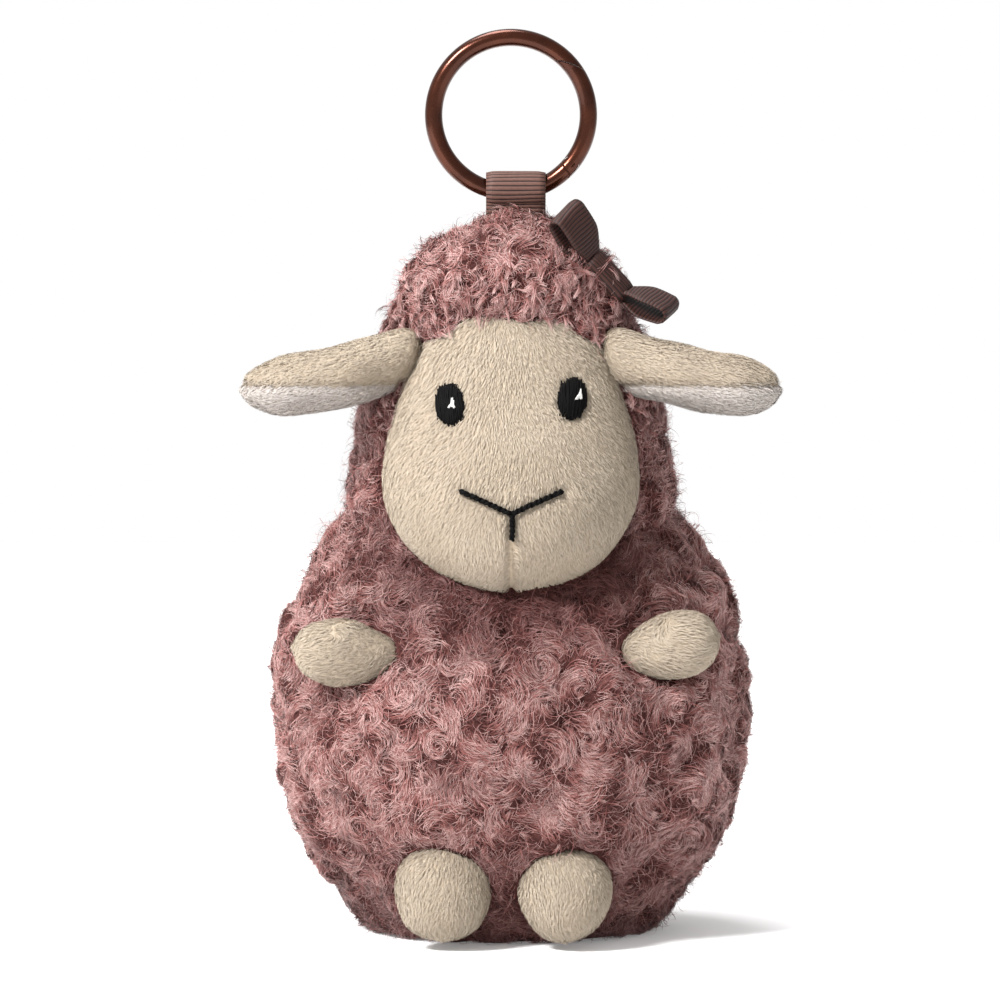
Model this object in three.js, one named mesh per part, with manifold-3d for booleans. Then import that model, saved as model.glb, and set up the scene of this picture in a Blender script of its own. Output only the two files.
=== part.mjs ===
// A small plush sheep that hangs on a bag: a stuffed body and head of curly pile, a short-pile face, ears,
// arms and feet, a ribbon bow, and a ribbon loop that carries a round ring with a sprung gate.
// Millimetres. +Z is up, the sheep looks along -Y, and its left-hand pieces in a front view lie at -X.
// The origin is the middle of the flat base that it stands on.
import * as THREE from "three";
import { mergeVertices } from "three/addons/utils/BufferGeometryUtils.js";
import Module from "manifold-3d";

const wasm = await Module();
wasm.setup();

const { degToRad, lerp, smoothstep } = THREE.MathUtils;

// Cloth and the gaps between pieces
const clothThickness = 1.2;
const seamGap = 0.3;
const cutOverrun = 5;
const weldDistance = 0.0001;

// The body's curls: knobs and hollows by turns, which fade out at the base, under the head and by the limbs
const curlHeight = 2.6;
const curlFade = 7;
const curlRows = 24;
const curlColumns = 56;

// No curl is lower than this share of the height, and how tall it is drifts by these angles a row and a column
const curlLeastShare = 0.6;
const curlDrift = { row: 2.4, column: 1.7 };

// Body
const bodyHeight = 73.5;
const bodyHalfWidth = 39;
const bodyHalfDepth = 32.6;
const bodyLeanBack = 5.8;
const bodyLeanStart = 30;
const bodySlimShare = 0.14;
const baseHem = 2.5;

// Head and face
const neckSink = 13.5;
const headHeight = 59.3;
const headHalfWidth = 27.5;
const headHalfDepth = 23;
const headSetBack = 1;
const faceDrop = 2.7;
const faceHeight = 49.6;
const faceHalfWidth = 21.3;
const faceHalfDepth = 20;
const faceForward = 11.5;
const faceLeanShare = 0.3;
const faceFullestShare = 0.385;
const faceRim = 2.5;

// Ears
const earLength = 25.6;
const earHalfHeight = 5.4;
const earHalfDepth = 7.6;
const earRootInside = 5;
const earBelowCrown = 21.6;
const earForward = 10.5;
const earDroop = 7;
const earSeamBelowRoot = 5.4;
const earSeatShare = 1.15;
const earHingeShare = 1 / 3;

// Arms
const leftArmLength = 19;
const rightArmLength = 17.3;
const armRadius = 5.7;
const armHeight = 48;
const armRootInside = 1.6;
const armRootSpread = 19.2;
const armBed = 1.2;
const leftArmTilt = 5;
const rightArmTilt = 14;

// Feet
const footLength = 17.2;
const footHalfWidth = 8;
const footHalfDepth = 7.4;
const footSpread = 10;
const footMiddle = -1.2;
const footForward = 25.6;
const footLift = 1.2;
const footTilt = 20;
const footHingeShare = 0.8;

// Face embroidery
const stitchRise = 0.6;
const eyeSpread = 10.2;
const eyeAboveFullest = 13.3;
const rightEyeRaise = 1;
const eyeHalfWidth = 2.4;
const eyeHalfHeight = 3.3;
const highlightSize = 1.5;
const mouthHalfWidth = 8.5;
const mouthBelowFullest = 0.7;
const mouthDip = 3.3;
const mouthStem = 4.4;
const mouthSagShare = 0.8;
const mouthThread = 0.9;

// Ribbon loop and bow
const ribbonThickness = 0.6;
const loopWidth = 10;
const loopRise = 3.6;
const loopParting = 40;
const bowRibbonWidth = 7;
const bowLoopLength = 10;
const bowLoopHeight = 4.2;
const bowLoopLift = 17;
const bowNeckWidth = 3.4;
const bowNeckThickness = 1.6;
const bowWrapLength = 7;
const bowSide = 14.8;
const bowBelowCrown = 9.7;
const bowBed = 1.1;
const bowFacing = new THREE.Vector3(0.62, -0.62, 0.48).normalize();
const bowFall = new THREE.Vector3(0.65, 0.12, -0.75);

// Ring and gate
const ringOuterDiameter = 28.6;
const wireDiameter = 2.9;
const latchInnerAngle = 52;
const latchOuterAngle = 28;
const latchSpareAngle = 4;
const gatePivotAngle = -39;
const slotWidth = 1.9;
const slotRadius = 2.4;
const tongueThickness = 0.8;
const tongueRadius = 1.3;
const pinRadius = 0.45;
const runningClearance = 0.1;
const springOuterRadius = 1;
const latchBlock = 8;

// How far the pieces swing, in degrees, so that their roots are cut to clear what carries them
const earSwing = { down: 30, up: 20 };
const rightEarUp = 3;
const armSwing = 20;
const footSwing = 25;
const swingStep = 5;

// Outlines, from bottom to top or root to tip: share of the height, share of the half width
const bodyShares = [
  [0, 0.615], [0.05, 0.71], [0.11, 0.79], [0.17, 0.852], [0.26, 0.93], [0.37, 0.985], [0.48, 1],
  [0.59, 0.993], [0.68, 0.955], [0.76, 0.895], [0.84, 0.83], [0.91, 0.755], [0.955, 0.63], [0.985, 0.4],
  [1, 0],
];
const headShares = [
  [0, 0], [0.02, 0.48], [0.06, 0.79], [0.12, 0.93], [0.2, 0.97], [0.3, 0.96], [0.42, 0.94], [0.53, 0.895],
  [0.63, 0.82], [0.73, 0.73], [0.81, 0.655], [0.89, 0.53], [0.95, 0.355], [0.985, 0.175], [1, 0],
];
const faceShares = [
  [0, 0], [0.03, 0.36], [0.09, 0.62], [0.18, 0.84], [0.28, 0.965], [0.385, 1], [0.51, 0.97],
  [0.62, 0.92], [0.75, 0.85], [0.86, 0.75], [0.945, 0.56], [1, 0],
];
const earShares = [
  [0, 0], [0.05, 0.6], [0.14, 0.86], [0.32, 0.98], [0.55, 1], [0.78, 0.93], [0.92, 0.66], [0.98, 0.36],
  [1, 0],
];
const armShares = [
  [0, 0], [0.05, 0.42], [0.18, 0.7], [0.38, 0.92], [0.6, 1], [0.8, 0.88], [0.93, 0.58], [1, 0],
];
const footShares = [
  [0, 0], [0.06, 0.5], [0.2, 0.86], [0.4, 1], [0.6, 0.97], [0.8, 0.78], [0.93, 0.47], [1, 0],
];

// Places worked out from the sizes above
const pileThickness = clothThickness + curlHeight;
const headBottom = bodyHeight - neckSink;
const headTop = headBottom + headHeight;
const faceBottom = headBottom - faceDrop;
const faceFullest = faceBottom + faceFullestShare * faceHeight;
const eyeHeight = faceFullest + eyeAboveFullest;
const mouthHeight = faceFullest - mouthBelowFullest;
const ringRadius = (ringOuterDiameter - wireDiameter) / 2;
const wireRadius = wireDiameter / 2;
const loopSagitta = ringRadius - Math.sqrt(ringRadius ** 2 - (loopWidth / 2) ** 2);
const loopInnerRadius = loopSagitta / 2 + wireRadius + seamGap;
const loopOuterRadius = loopInnerRadius + ribbonThickness;
const loopSeam = headTop + seamGap + ribbonThickness;
const ringHinge = loopSeam + loopRise;
const ringCentre = ringHinge - loopSagitta / 2 + ringRadius;

const cream = { color: 0xded0b8, roughness: 0.95, metalness: 0 };
const pile = { color: 0xa67570, roughness: 1, metalness: 0 };
const white = { color: 0xe6ded6, roughness: 0.95, metalness: 0 };
const filling = { color: 0xf2f0ea, roughness: 1, metalness: 0 };
const blackThread = { color: 0x161414, roughness: 0.6, metalness: 0 };
const whiteThread = { color: 0xf4f2ee, roughness: 0.6, metalness: 0 };
const grosgrain = { color: 0x62443d, roughness: 0.75, metalness: 0 };
const brownMetal = { color: 0x4a2c22, roughness: 0.25, metalness: 0.7 };
const steel = { color: 0x9a9a9c, roughness: 0.35, metalness: 1 };

// A closed geometry as a solid that can be joined and cut
function toSolid(geometry) {
  geometry.deleteAttribute("normal");
  geometry.deleteAttribute("uv");
  const merged = mergeVertices(geometry, weldDistance);
  const vertProperties = merged.attributes.position.array;
  const triVerts = new Uint32Array(merged.index.array);
  return new wasm.Manifold(new wasm.Mesh({ numProp: 3, vertProperties, triVerts }));
}

function toMesh(name, solid, look) {
  const { vertProperties, triVerts } = solid.getMesh();
  const geometry = new THREE.BufferGeometry();
  geometry.setAttribute("position", new THREE.BufferAttribute(vertProperties, 3));
  geometry.setIndex(new THREE.BufferAttribute(triVerts, 1));
  geometry.computeVertexNormals();
  const mesh = new THREE.Mesh(geometry, new THREE.MeshStandardMaterial(look));
  mesh.name = name;
  return mesh;
}

// The points of a soft outline, grown or shrunk all round by the same distance
function outlinePoints({ shares, halfWidth, height, rows, evenRows, flatFoot }, grow) {
  const marks = shares.map(([up, out]) => {
    const radius = out === 0 ? 0 : out * halfWidth + grow;
    return new THREE.Vector2(radius, up * (height + 2 * grow) - grow);
  });
  const curve = new THREE.SplineCurve(marks);
  const points = evenRows ? curve.getSpacedPoints(rows) : curve.getPoints(rows);
  points.forEach((point) => point.setX(Math.max(point.x, 0)));
  points.at(-1).setX(0);
  if (flatFoot) {
    points.unshift(new THREE.Vector2(0, points[0].y));
  } else {
    points[0].setX(0);
  }
  return points;
}

// A soft form: a lathe about Z, pressed to its own depth and leaned row by row
function formLathe(form, grow) {
  const geometry = new THREE.LatheGeometry(outlinePoints(form, grow), form.around);
  geometry.rotateX(Math.PI / 2);
  geometry.scale(1, (form.halfDepth + grow) / (form.halfWidth + grow), 1);
  geometry.translate(0, 0, form.bottom);
  const places = geometry.attributes.position;
  for (let i = 0; i < places.count; i += 1) {
    const z = places.getZ(i);
    places.setY(i, form.centreAt(z) + places.getY(i) * form.slimAt(z));
  }
  return geometry;
}

function softForm(form, grow = 0) {
  return toSolid(formLathe(form, grow));
}

// How far a soft form reaches sideways and forward from its middle at a height
function reachAt(form, z) {
  const points = outlinePoints(form, 0);
  const up = z - form.bottom;
  const next = points.findIndex((point, i) => i > 0 && point.y >= up);
  const [low, high] = [points[next - 1], points[next]];
  const width = lerp(low.x, high.x, (up - low.y) / (high.y - low.y));
  const depth = width * (form.halfDepth / form.halfWidth) * form.slimAt(z);
  return { width, depth };
}

// The front surface of a soft form at a place seen from the front
function frontAt(form, x, z) {
  const { width, depth } = reachAt(form, z);
  return form.centreAt(z) - depth * Math.sqrt(Math.max(0, 1 - (x / width) ** 2));
}

// The level direction that points straight out of a soft form's front at such a place
function outwardAt(form, x, z) {
  const { width, depth } = reachAt(form, z);
  const forward = Math.sqrt(Math.max(0, 1 - (x / width) ** 2)) / depth;
  return new THREE.Vector3(x / width ** 2, -forward, 0).normalize();
}

const bodyForm = {
  shares: bodyShares,
  halfWidth: bodyHalfWidth,
  halfDepth: bodyHalfDepth,
  height: bodyHeight,
  bottom: 0,
  flatFoot: true,
  rows: 15,
  around: 24,
  centreAt: (z) => bodyLeanBack * smoothstep(z, bodyLeanStart, bodyHeight),
  slimAt: (z) => 1 - bodySlimShare * smoothstep(z, bodyLeanStart, bodyHeight),
};

const headForm = {
  shares: headShares,
  halfWidth: headHalfWidth,
  halfDepth: headHalfDepth,
  height: headHeight,
  bottom: headBottom,
  rows: 15,
  around: 24,
  centreAt: () => headSetBack,
  slimAt: () => 1,
};

const faceForm = {
  shares: faceShares,
  halfWidth: faceHalfWidth,
  halfDepth: faceHalfDepth,
  height: faceHeight,
  bottom: faceBottom,
  rows: 13,
  around: 22,
  centreAt: (z) => faceLeanShare * (z - faceFullest) - faceForward,
  slimAt: () => 1,
};

function box(width, depth, height) {
  return new THREE.BoxGeometry(width, depth, height);
}

// A flat outline given a thickness, half of it on each side of the outline
function slab(shape, thickness) {
  const options = { depth: thickness, bevelEnabled: false, curveSegments: 6 };
  return new THREE.ExtrudeGeometry(shape, options).translate(0, 0, -thickness / 2);
}

// A round bar along Y
function barAlongY(radius, length, sides = 24) {
  return new THREE.CylinderGeometry(radius, radius, length, sides);
}

// A solid cut so that it clears the obstacles at every step of a swing about a hinge
function clearSwing(solid, obstacles, { at, axis, from, to }) {
  const steps = Math.max(1, Math.round((to - from) / swingStep));
  let cut = solid;
  for (let step = 0; step <= steps; step += 1) {
    const turn = new THREE.Matrix4().makeRotationAxis(axis, -degToRad(lerp(from, to, step / steps)));
    const move = new THREE.Matrix4().makeTranslation(at).multiply(turn);
    move.multiply(new THREE.Matrix4().makeTranslation(at.clone().negate()));
    for (const obstacle of obstacles) {
      cut = cut.subtract(obstacle.transform(move.elements));
    }
  }
  return cut;
}

// What the smaller pieces are cut by
const bodyBulk = softForm({ ...bodyForm, around: curlColumns }, seamGap);
const headBulk = softForm(headForm, seamGap);
const faceBulk = softForm(faceForm, seamGap);

// Where the limbs are sewn to the body, or lie against it
function armRoot(side) {
  return new THREE.Vector3(side * armRootSpread, frontAt(bodyForm, armRootSpread, armHeight), armHeight);
}

function footCentre(side) {
  const drop = (footLength / 2) * Math.cos(degToRad(footTilt));
  return new THREE.Vector3(footMiddle + side * footSpread, -footForward, footLift + drop);
}

// How much of the curls shows at a place on the body
function curlStrength(place) {
  const nearest = Math.min(
    place.z,
    faceBottom - place.z,
    ...[-1, 1].map((side) => place.distanceTo(armRoot(side)) - armRadius),
    ...[-1, 1].map((side) => place.distanceTo(footCentre(side)) - footLength / 2),
  );
  return smoothstep(nearest, 0, curlFade);
}

// Turns the diagonal of every second square of a lathe, so that knobs at its crossings come out round
function crossDiagonals(geometry, perColumn) {
  const { index } = geometry;
  for (let square = 0; 6 * square < index.count; square += 1) {
    const row = square % (perColumn - 1);
    const column = Math.floor(square / (perColumn - 1));
    if ((row + column) % 2 === 1) {
      const start = row + column * perColumn;
      const [low, lowNext, high, highNext] = [start, start + perColumn, start + 1, start + perColumn + 1];
      index.array.set([low, lowNext, highNext, low, highNext, high], 6 * square);
    }
  }
}

// The body's skin: every second crossing of its rows and columns is a knob or a hollow, by turns
function curlyBody() {
  const form = { ...bodyForm, rows: curlRows, around: curlColumns, evenRows: true };
  const skin = formLathe(form, 0);
  const places = skin.attributes.position;
  const hollows = formLathe(form, -curlHeight).attributes.position;
  const perColumn = places.count / (curlColumns + 1);
  const place = new THREE.Vector3();
  const hollow = new THREE.Vector3();
  for (let i = 0; i < places.count; i += 1) {
    const row = i % perColumn;
    const column = Math.floor(i / perColumn) % curlColumns;
    const knob = Math.cos((Math.PI / 2) * row) * Math.cos((Math.PI / 2) * column);
    const drift = (1 + Math.cos(curlDrift.row * row + curlDrift.column * column)) / 2;
    const sink = (1 - knob * lerp(curlLeastShare, 1, drift)) / 2;
    place.fromBufferAttribute(places, i);
    hollow.fromBufferAttribute(hollows, i);
    place.lerp(hollow, sink * curlStrength(place));
    places.setXYZ(i, place.x, place.y, place.z);
  }
  crossDiagonals(skin, perColumn);
  return toSolid(skin);
}

// Body: a curly cover open at the bottom, the base panel in that opening, and stuffing down to the panel
function basePlug(inset, bottom, top) {
  const [, footShare] = bodyShares[0];
  const plug = barAlongY(1, top - bottom, bodyForm.around);
  plug.rotateX(Math.PI / 2);
  plug.scale(footShare * bodyHalfWidth - inset, footShare * bodyHalfDepth - inset, 1);
  return toSolid(plug.translate(0, 0, (bottom + top) / 2));
}

function bodyPieces() {
  const fill = pileThickness + seamGap;
  const hole = basePlug(baseHem, -cutOverrun, fill + seamGap);
  const cover = curlyBody().subtract(softForm(bodyForm, -pileThickness)).subtract(hole);
  const panel = basePlug(baseHem + seamGap, 0, clothThickness);
  const stuffing = softForm(bodyForm, -fill).add(basePlug(baseHem + seamGap, clothThickness + seamGap, fill));
  return [
    toMesh("body_cover", cover, pile),
    toMesh("base_panel", panel, pile),
    toMesh("body_stuffing", stuffing, filling),
  ];
}

// Head: a cap with a mouth-like opening, the face cover over that opening, and one stuffing
function headPieces() {
  const fill = clothThickness + seamGap;
  const cap = softForm(headForm)
    .subtract(softForm(headForm, -clothThickness))
    .subtract(softForm(faceForm, -faceRim))
    .subtract(bodyBulk);
  const face = softForm(faceForm)
    .subtract(softForm(faceForm, -clothThickness))
    .subtract(headBulk)
    .subtract(bodyBulk);
  const stuffing = softForm(faceForm, -fill)
    .subtract(headBulk)
    .add(softForm(faceForm, -faceRim - seamGap))
    .add(softForm(headForm, -fill))
    .subtract(bodyBulk);
  return [
    toMesh("head_cap", cap, pile),
    toMesh("face_cover", face, cream),
    toMesh("head_stuffing", stuffing, filling),
  ];
}

// A flat outline seen from the front, laid on the face as a thin layer
function faceLayer(shape, x, z, lift) {
  const layer = softForm(faceForm, lift + stitchRise).subtract(softForm(faceForm, lift));
  const depth = faceHalfDepth + cutOverrun;
  const prism = new THREE.ExtrudeGeometry(shape, { depth, bevelEnabled: false, curveSegments: 8 });
  prism.rotateX(Math.PI / 2);
  prism.translate(x, faceForm.centreAt(z), z);
  return layer.intersect(toSolid(prism));
}

function eyeShape() {
  const shape = new THREE.Shape();
  shape.absellipse(0, 0, eyeHalfWidth, eyeHalfHeight, 0, 2 * Math.PI, false, 0);
  return shape;
}

function highlightShape() {
  const half = highlightSize / 2;
  const shape = new THREE.Shape();
  shape.moveTo(-half, -half);
  shape.lineTo(half, -half);
  shape.lineTo(half, highlightSize);
  shape.closePath();
  return shape;
}

// A wide V of thread with one upright stitch under its middle
function mouthShape() {
  const half = mouthThread / 2;
  const bend = mouthHalfWidth / 2;
  const sag = mouthSagShare * mouthDip;
  const shape = new THREE.Shape();
  shape.moveTo(-mouthHalfWidth, half);
  shape.quadraticCurveTo(-bend, half - sag, 0, mouthThread - mouthDip);
  shape.quadraticCurveTo(bend, half - sag, mouthHalfWidth, half);
  shape.lineTo(mouthHalfWidth, -half);
  shape.quadraticCurveTo(bend, -half - sag, half, -mouthDip);
  shape.lineTo(half, -mouthDip - mouthStem);
  shape.lineTo(-half, -mouthDip - mouthStem);
  shape.lineTo(-half, -mouthDip);
  shape.quadraticCurveTo(-bend, -half - sag, -mouthHalfWidth, -half);
  shape.closePath();
  return shape;
}

function embroidery() {
  const pieces = [toMesh("mouth_stitches", faceLayer(mouthShape(), 0, mouthHeight, seamGap), blackThread)];
  const highlightLift = 2 * seamGap + stitchRise;
  const eyes = [["left", -eyeSpread, eyeHeight], ["right", eyeSpread, eyeHeight + rightEyeRaise]];
  for (const [side, x, z] of eyes) {
    const shine = faceLayer(highlightShape(), x + highlightSize / 3, z, highlightLift);
    pieces.push(toMesh(`${side}_eye`, faceLayer(eyeShape(), x, z, seamGap), blackThread));
    pieces.push(toMesh(`${side}_eye_highlight`, shine, whiteThread));
  }
  return pieces;
}

// Ears: a padded leaf with a cream top and a white underside, which meet at a level seam
const earRootHeight = headTop - earBelowCrown;
const earReach = reachAt(headForm, earRootHeight);
const earRootSpread = earReach.width * Math.sqrt(1 - (earForward / (earReach.depth * earSeatShare)) ** 2);

function earBulk(side) {
  const form = {
    shares: earShares,
    halfWidth: earHalfHeight,
    height: earLength + earRootInside,
    rows: 10,
  };
  const geometry = new THREE.LatheGeometry(outlinePoints(form, 0), 16);
  geometry.rotateZ(-Math.PI / 2);
  geometry.scale(1, 1, earHalfDepth / earHalfHeight);
  geometry.rotateX(Math.PI / 2);
  const places = geometry.attributes.position;
  for (let i = 0; i < places.count; i += 1) {
    const along = places.getX(i) / (earLength + earRootInside);
    places.setZ(i, places.getZ(i) - earDroop * (1 - (1 - along) ** 2));
  }
  if (side < 0) {
    geometry.rotateZ(Math.PI);
  }
  geometry.translate(side * (earRootSpread - earRootInside), -earForward, earRootHeight);
  return toSolid(geometry);
}

function earHinge(side) {
  const at = new THREE.Vector3(side * earRootSpread, -earForward, earRootHeight - earHingeShare * earDroop);
  const axis = new THREE.Vector3(0, side, 0);
  return { at, axis, from: side > 0 ? -rightEarUp : -earSwing.up, to: earSwing.down };
}

function earPieces(name, side) {
  const bulk = clearSwing(earBulk(side), [headBulk, faceBulk, bodyBulk], earHinge(side));
  const seam = earRootHeight - earSeamBelowRoot;
  const span = 3 * earLength;
  const under = toSolid(box(span, span, span).translate(side * earLength, 0, seam + seamGap / 2 - span / 2));
  const over = toSolid(box(span, span, span).translate(side * earLength, 0, seam - seamGap / 2 + span / 2));
  return [
    toMesh(`${name}_ear_outer`, bulk.subtract(under), cream),
    toMesh(`${name}_ear_lining`, bulk.subtract(over), white),
  ];
}

// A stub limb: an egg laid along its own direction, hollow at the root where it is sewn on
function limbBulk({ shares, length, halfWidth, halfDepth, place }, grow = 0) {
  const form = { shares, halfWidth, height: length, rows: 9 };
  const geometry = new THREE.LatheGeometry(outlinePoints(form, grow), 14);
  geometry.rotateX(Math.PI / 2);
  geometry.scale(1, (halfDepth + grow) / (halfWidth + grow), 1);
  return toSolid(geometry.applyMatrix4(place));
}

function limbPieces(name, limb, swing) {
  const cover = limbBulk(limb).subtract(limbBulk(limb, -clothThickness));
  const stuffing = limbBulk(limb, -clothThickness - seamGap);
  return [
    toMesh(`${name}_cover`, clearSwing(cover, [bodyBulk], swing), cream),
    toMesh(`${name}_stuffing`, clearSwing(stuffing, [bodyBulk], swing), filling),
  ];
}

function armPieces(name, side, tilt, length) {
  const root = armRoot(side);
  const outward = outwardAt(bodyForm, root.x, root.z);
  root.y += armBed;
  const lie = new THREE.Matrix4().makeRotationY(side * degToRad(90 - tilt));
  const place = new THREE.Matrix4().makeTranslation(root).multiply(lie);
  place.multiply(new THREE.Matrix4().makeTranslation(0, 0, -armRootInside));
  const limb = { shares: armShares, length, halfWidth: armRadius, halfDepth: armRadius, place };
  const axis = outward.multiplyScalar(side);
  return limbPieces(name, limb, { at: root, axis, from: -armSwing, to: armSwing });
}

// The foot's toe just clears the floor, and its root lies in the lower front of the body
function footPlace(side) {
  const lie = new THREE.Matrix4().makeRotationX(Math.PI - degToRad(footTilt));
  const place = new THREE.Matrix4().makeTranslation(footCentre(side)).multiply(lie);
  return place.multiply(new THREE.Matrix4().makeTranslation(0, 0, -footLength / 2));
}

function footPieces(name, side) {
  const limb = {
    shares: footShares,
    length: footLength,
    halfWidth: footHalfWidth,
    halfDepth: footHalfDepth,
    place: footPlace(side),
  };
  const at = footCentre(side);
  at.y += footHalfDepth;
  at.z = footHingeShare * footLength;
  return limbPieces(name, limb, { at, axis: new THREE.Vector3(-1, 0, 0), from: 0, to: footSwing });
}

// The hanging loop: a ribbon over the ring's wire, its two ends closed together at the crown of the head
function hangingLoop() {
  const root = ribbonThickness;
  const outer = new THREE.Shape();
  const parting = degToRad(loopParting);
  outer.absarc(0, -loopRise, root, 0, Math.PI, true);
  outer.lineTo(-root, root - loopRise);
  outer.absarc(0, 0, loopOuterRadius, Math.PI + parting, -parting, true);
  outer.lineTo(root, root - loopRise);
  const inner = new THREE.Shape();
  inner.absarc(0, 0, loopInnerRadius, 0, 2 * Math.PI, false);
  const standing = (geometry) => toSolid(geometry.rotateX(Math.PI / 2).rotateZ(Math.PI / 2));
  const band = standing(slab(outer, loopWidth)).subtract(standing(slab(inner, 2 * loopWidth)));
  const loop = toMesh("hanging_loop", band, grosgrain);
  loop.position.set(0, 0, ringHinge);
  return loop;
}

// The ring's wire runs round its centre in the XZ plane
class RingArc extends THREE.Curve {
  constructor(from, to) {
    super();
    this.from = degToRad(from);
    this.to = degToRad(to);
  }

  getPoint(t, target = new THREE.Vector3()) {
    const angle = lerp(this.from, this.to, t);
    return target.set(ringRadius * Math.cos(angle), 0, ringRadius * Math.sin(angle));
  }
}

function wireArc(from, to, steps) {
  const section = new THREE.Shape();
  section.absarc(0, 0, wireRadius, 0, 2 * Math.PI, false);
  const options = { steps, curveSegments: 6, extrudePath: new RingArc(from, to), bevelEnabled: false };
  return toSolid(new THREE.ExtrudeGeometry(section, options));
}

function onRing(radius, degrees) {
  const angle = degToRad(degrees);
  return new THREE.Vector3(radius * Math.cos(angle), 0, radius * Math.sin(angle));
}

// A block whose one face lies on the slanted latch cut, on the side that is taken away
function latchCutter(above) {
  const inner = onRing(ringRadius - wireRadius, latchInnerAngle);
  const outer = onRing(ringRadius + wireRadius, latchOuterAngle);
  const slope = Math.atan2(outer.z - inner.z, outer.x - inner.x);
  const side = above ? 1 : -1;
  const block = box(latchBlock, latchBlock, latchBlock);
  block.translate(0, 0, side * (latchBlock / 2 - seamGap / 2));
  block.rotateY(-slope);
  block.translate((inner.x + outer.x) / 2, 0, (inner.z + outer.z) / 2);
  return toSolid(block);
}

function ringPieces() {
  const pivot = onRing(ringRadius, gatePivotAngle);
  const atPivot = (geometry, y = 0) => toSolid(geometry.translate(pivot.x, y, pivot.z));
  const bore = atPivot(barAlongY(pinRadius + runningClearance, 2 * wireDiameter));

  const ring = wireArc(latchOuterAngle - latchSpareAngle, 360 + gatePivotAngle, 42)
    .add(atPivot(new THREE.SphereGeometry(wireRadius, 12, 8)))
    .subtract(latchCutter(false))
    .subtract(atPivot(barAlongY(slotRadius, slotWidth)))
    .subtract(bore);

  const tongueY = (tongueThickness - slotWidth) / 2 + runningClearance;
  const gateWire = wireArc(gatePivotAngle, latchInnerAngle + latchSpareAngle, 14);
  const tongue = gateWire
    .add(atPivot(barAlongY(tongueRadius, wireDiameter)))
    .intersect(atPivot(barAlongY(slotRadius, tongueThickness), tongueY));
  const gate = gateWire
    .subtract(atPivot(barAlongY(wireRadius + seamGap, 2 * wireDiameter)))
    .subtract(latchCutter(true))
    .add(tongue)
    .subtract(bore);

  const springLength = slotWidth - tongueThickness - 3 * runningClearance;
  const springY = (slotWidth - springLength) / 2 - runningClearance;
  const spring = atPivot(barAlongY(springOuterRadius, springLength), springY).subtract(bore);
  const pin = atPivot(barAlongY(pinRadius, wireDiameter - 2 * runningClearance));

  const group = new THREE.Group();
  group.position.set(0, 0, ringCentre);
  group.add(
    toMesh("ring_body", ring, brownMetal),
    toMesh("ring_gate", gate, brownMetal),
    toMesh("gate_pivot_pin", pin, brownMetal),
    toMesh("gate_spring", spring, steel),
  );
  return group;
}

// The bow: its own X runs from the upper loop to the lower one, its own Z stands off the head
function bowMatrix() {
  const z = headTop - bowBelowCrown;
  const along = bowFall.clone().projectOnPlane(bowFacing).normalize();
  const across = new THREE.Vector3().crossVectors(bowFacing, along);
  const seat = new THREE.Vector3(bowSide, frontAt(headForm, bowSide, z), z);
  seat.addScaledVector(bowFacing, bowBed);
  return new THREE.Matrix4().makeBasis(along, across, bowFacing).setPosition(seat);
}

function bowLoop(side) {
  const end = bowLoopLength - bowLoopHeight / 2;
  const tip = (inset) => bowLoopHeight / 2 - inset;
  const leaf = (inset, width) => {
    const shape = new THREE.Shape();
    shape.moveTo(0, bowNeckThickness / 2 - inset);
    shape.quadraticCurveTo(end / 2, tip(inset), end, tip(inset));
    shape.absarc(end, 0, tip(inset), Math.PI / 2, -Math.PI / 2, true);
    shape.quadraticCurveTo(end / 2, -tip(inset), 0, inset - bowNeckThickness / 2);
    const geometry = slab(shape, width);
    geometry.rotateX(Math.PI / 2);
    geometry.rotateY(-degToRad(bowLoopLift));
    geometry.translate(bowWrapLength / 2 + seamGap, 0, 0);
    if (side < 0) {
      geometry.rotateZ(Math.PI);
    }
    return toSolid(geometry);
  };
  return leaf(0, bowRibbonWidth).subtract(leaf(ribbonThickness, 2 * bowRibbonWidth));
}

// A rectangle whose corners are rounded as far as a ribbon's two layers need
function roundedShape(width, height) {
  const corner = 2 * ribbonThickness;
  const [x, y] = [width / 2 - corner, height / 2 - corner];
  const shape = new THREE.Shape();
  shape.absarc(x, y, corner, 0, Math.PI / 2, false);
  shape.absarc(-x, y, corner, Math.PI / 2, Math.PI, false);
  shape.absarc(-x, -y, corner, Math.PI, 1.5 * Math.PI, false);
  shape.absarc(x, -y, corner, 1.5 * Math.PI, 2 * Math.PI, false);
  return shape;
}

function bowPieces() {
  const place = bowMatrix();
  const head = headBulk.transform(place.clone().invert().elements);
  const neckLength = bowWrapLength + 2 * seamGap + 2 * ribbonThickness;
  const neck = toSolid(box(neckLength, bowNeckWidth, bowNeckThickness));
  const ribbon = bowLoop(-1).add(bowLoop(1)).add(neck).subtract(head);
  const roomWidth = bowNeckWidth + 2 * seamGap;
  const roomThickness = bowNeckThickness + 2 * seamGap;
  const outline = roundedShape(roomWidth + 2 * ribbonThickness, roomThickness + 2 * ribbonThickness);
  const band = slab(outline, bowWrapLength);
  const wrap = toSolid(band.rotateY(Math.PI / 2).rotateX(Math.PI / 2))
    .subtract(toSolid(box(2 * bowWrapLength, roomWidth, roomThickness)))
    .subtract(head);
  const group = new THREE.Group();
  group.applyMatrix4(place);
  group.add(toMesh("bow_ribbon", ribbon, grosgrain), toMesh("bow_wrap", wrap, grosgrain));
  return group;
}

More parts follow.
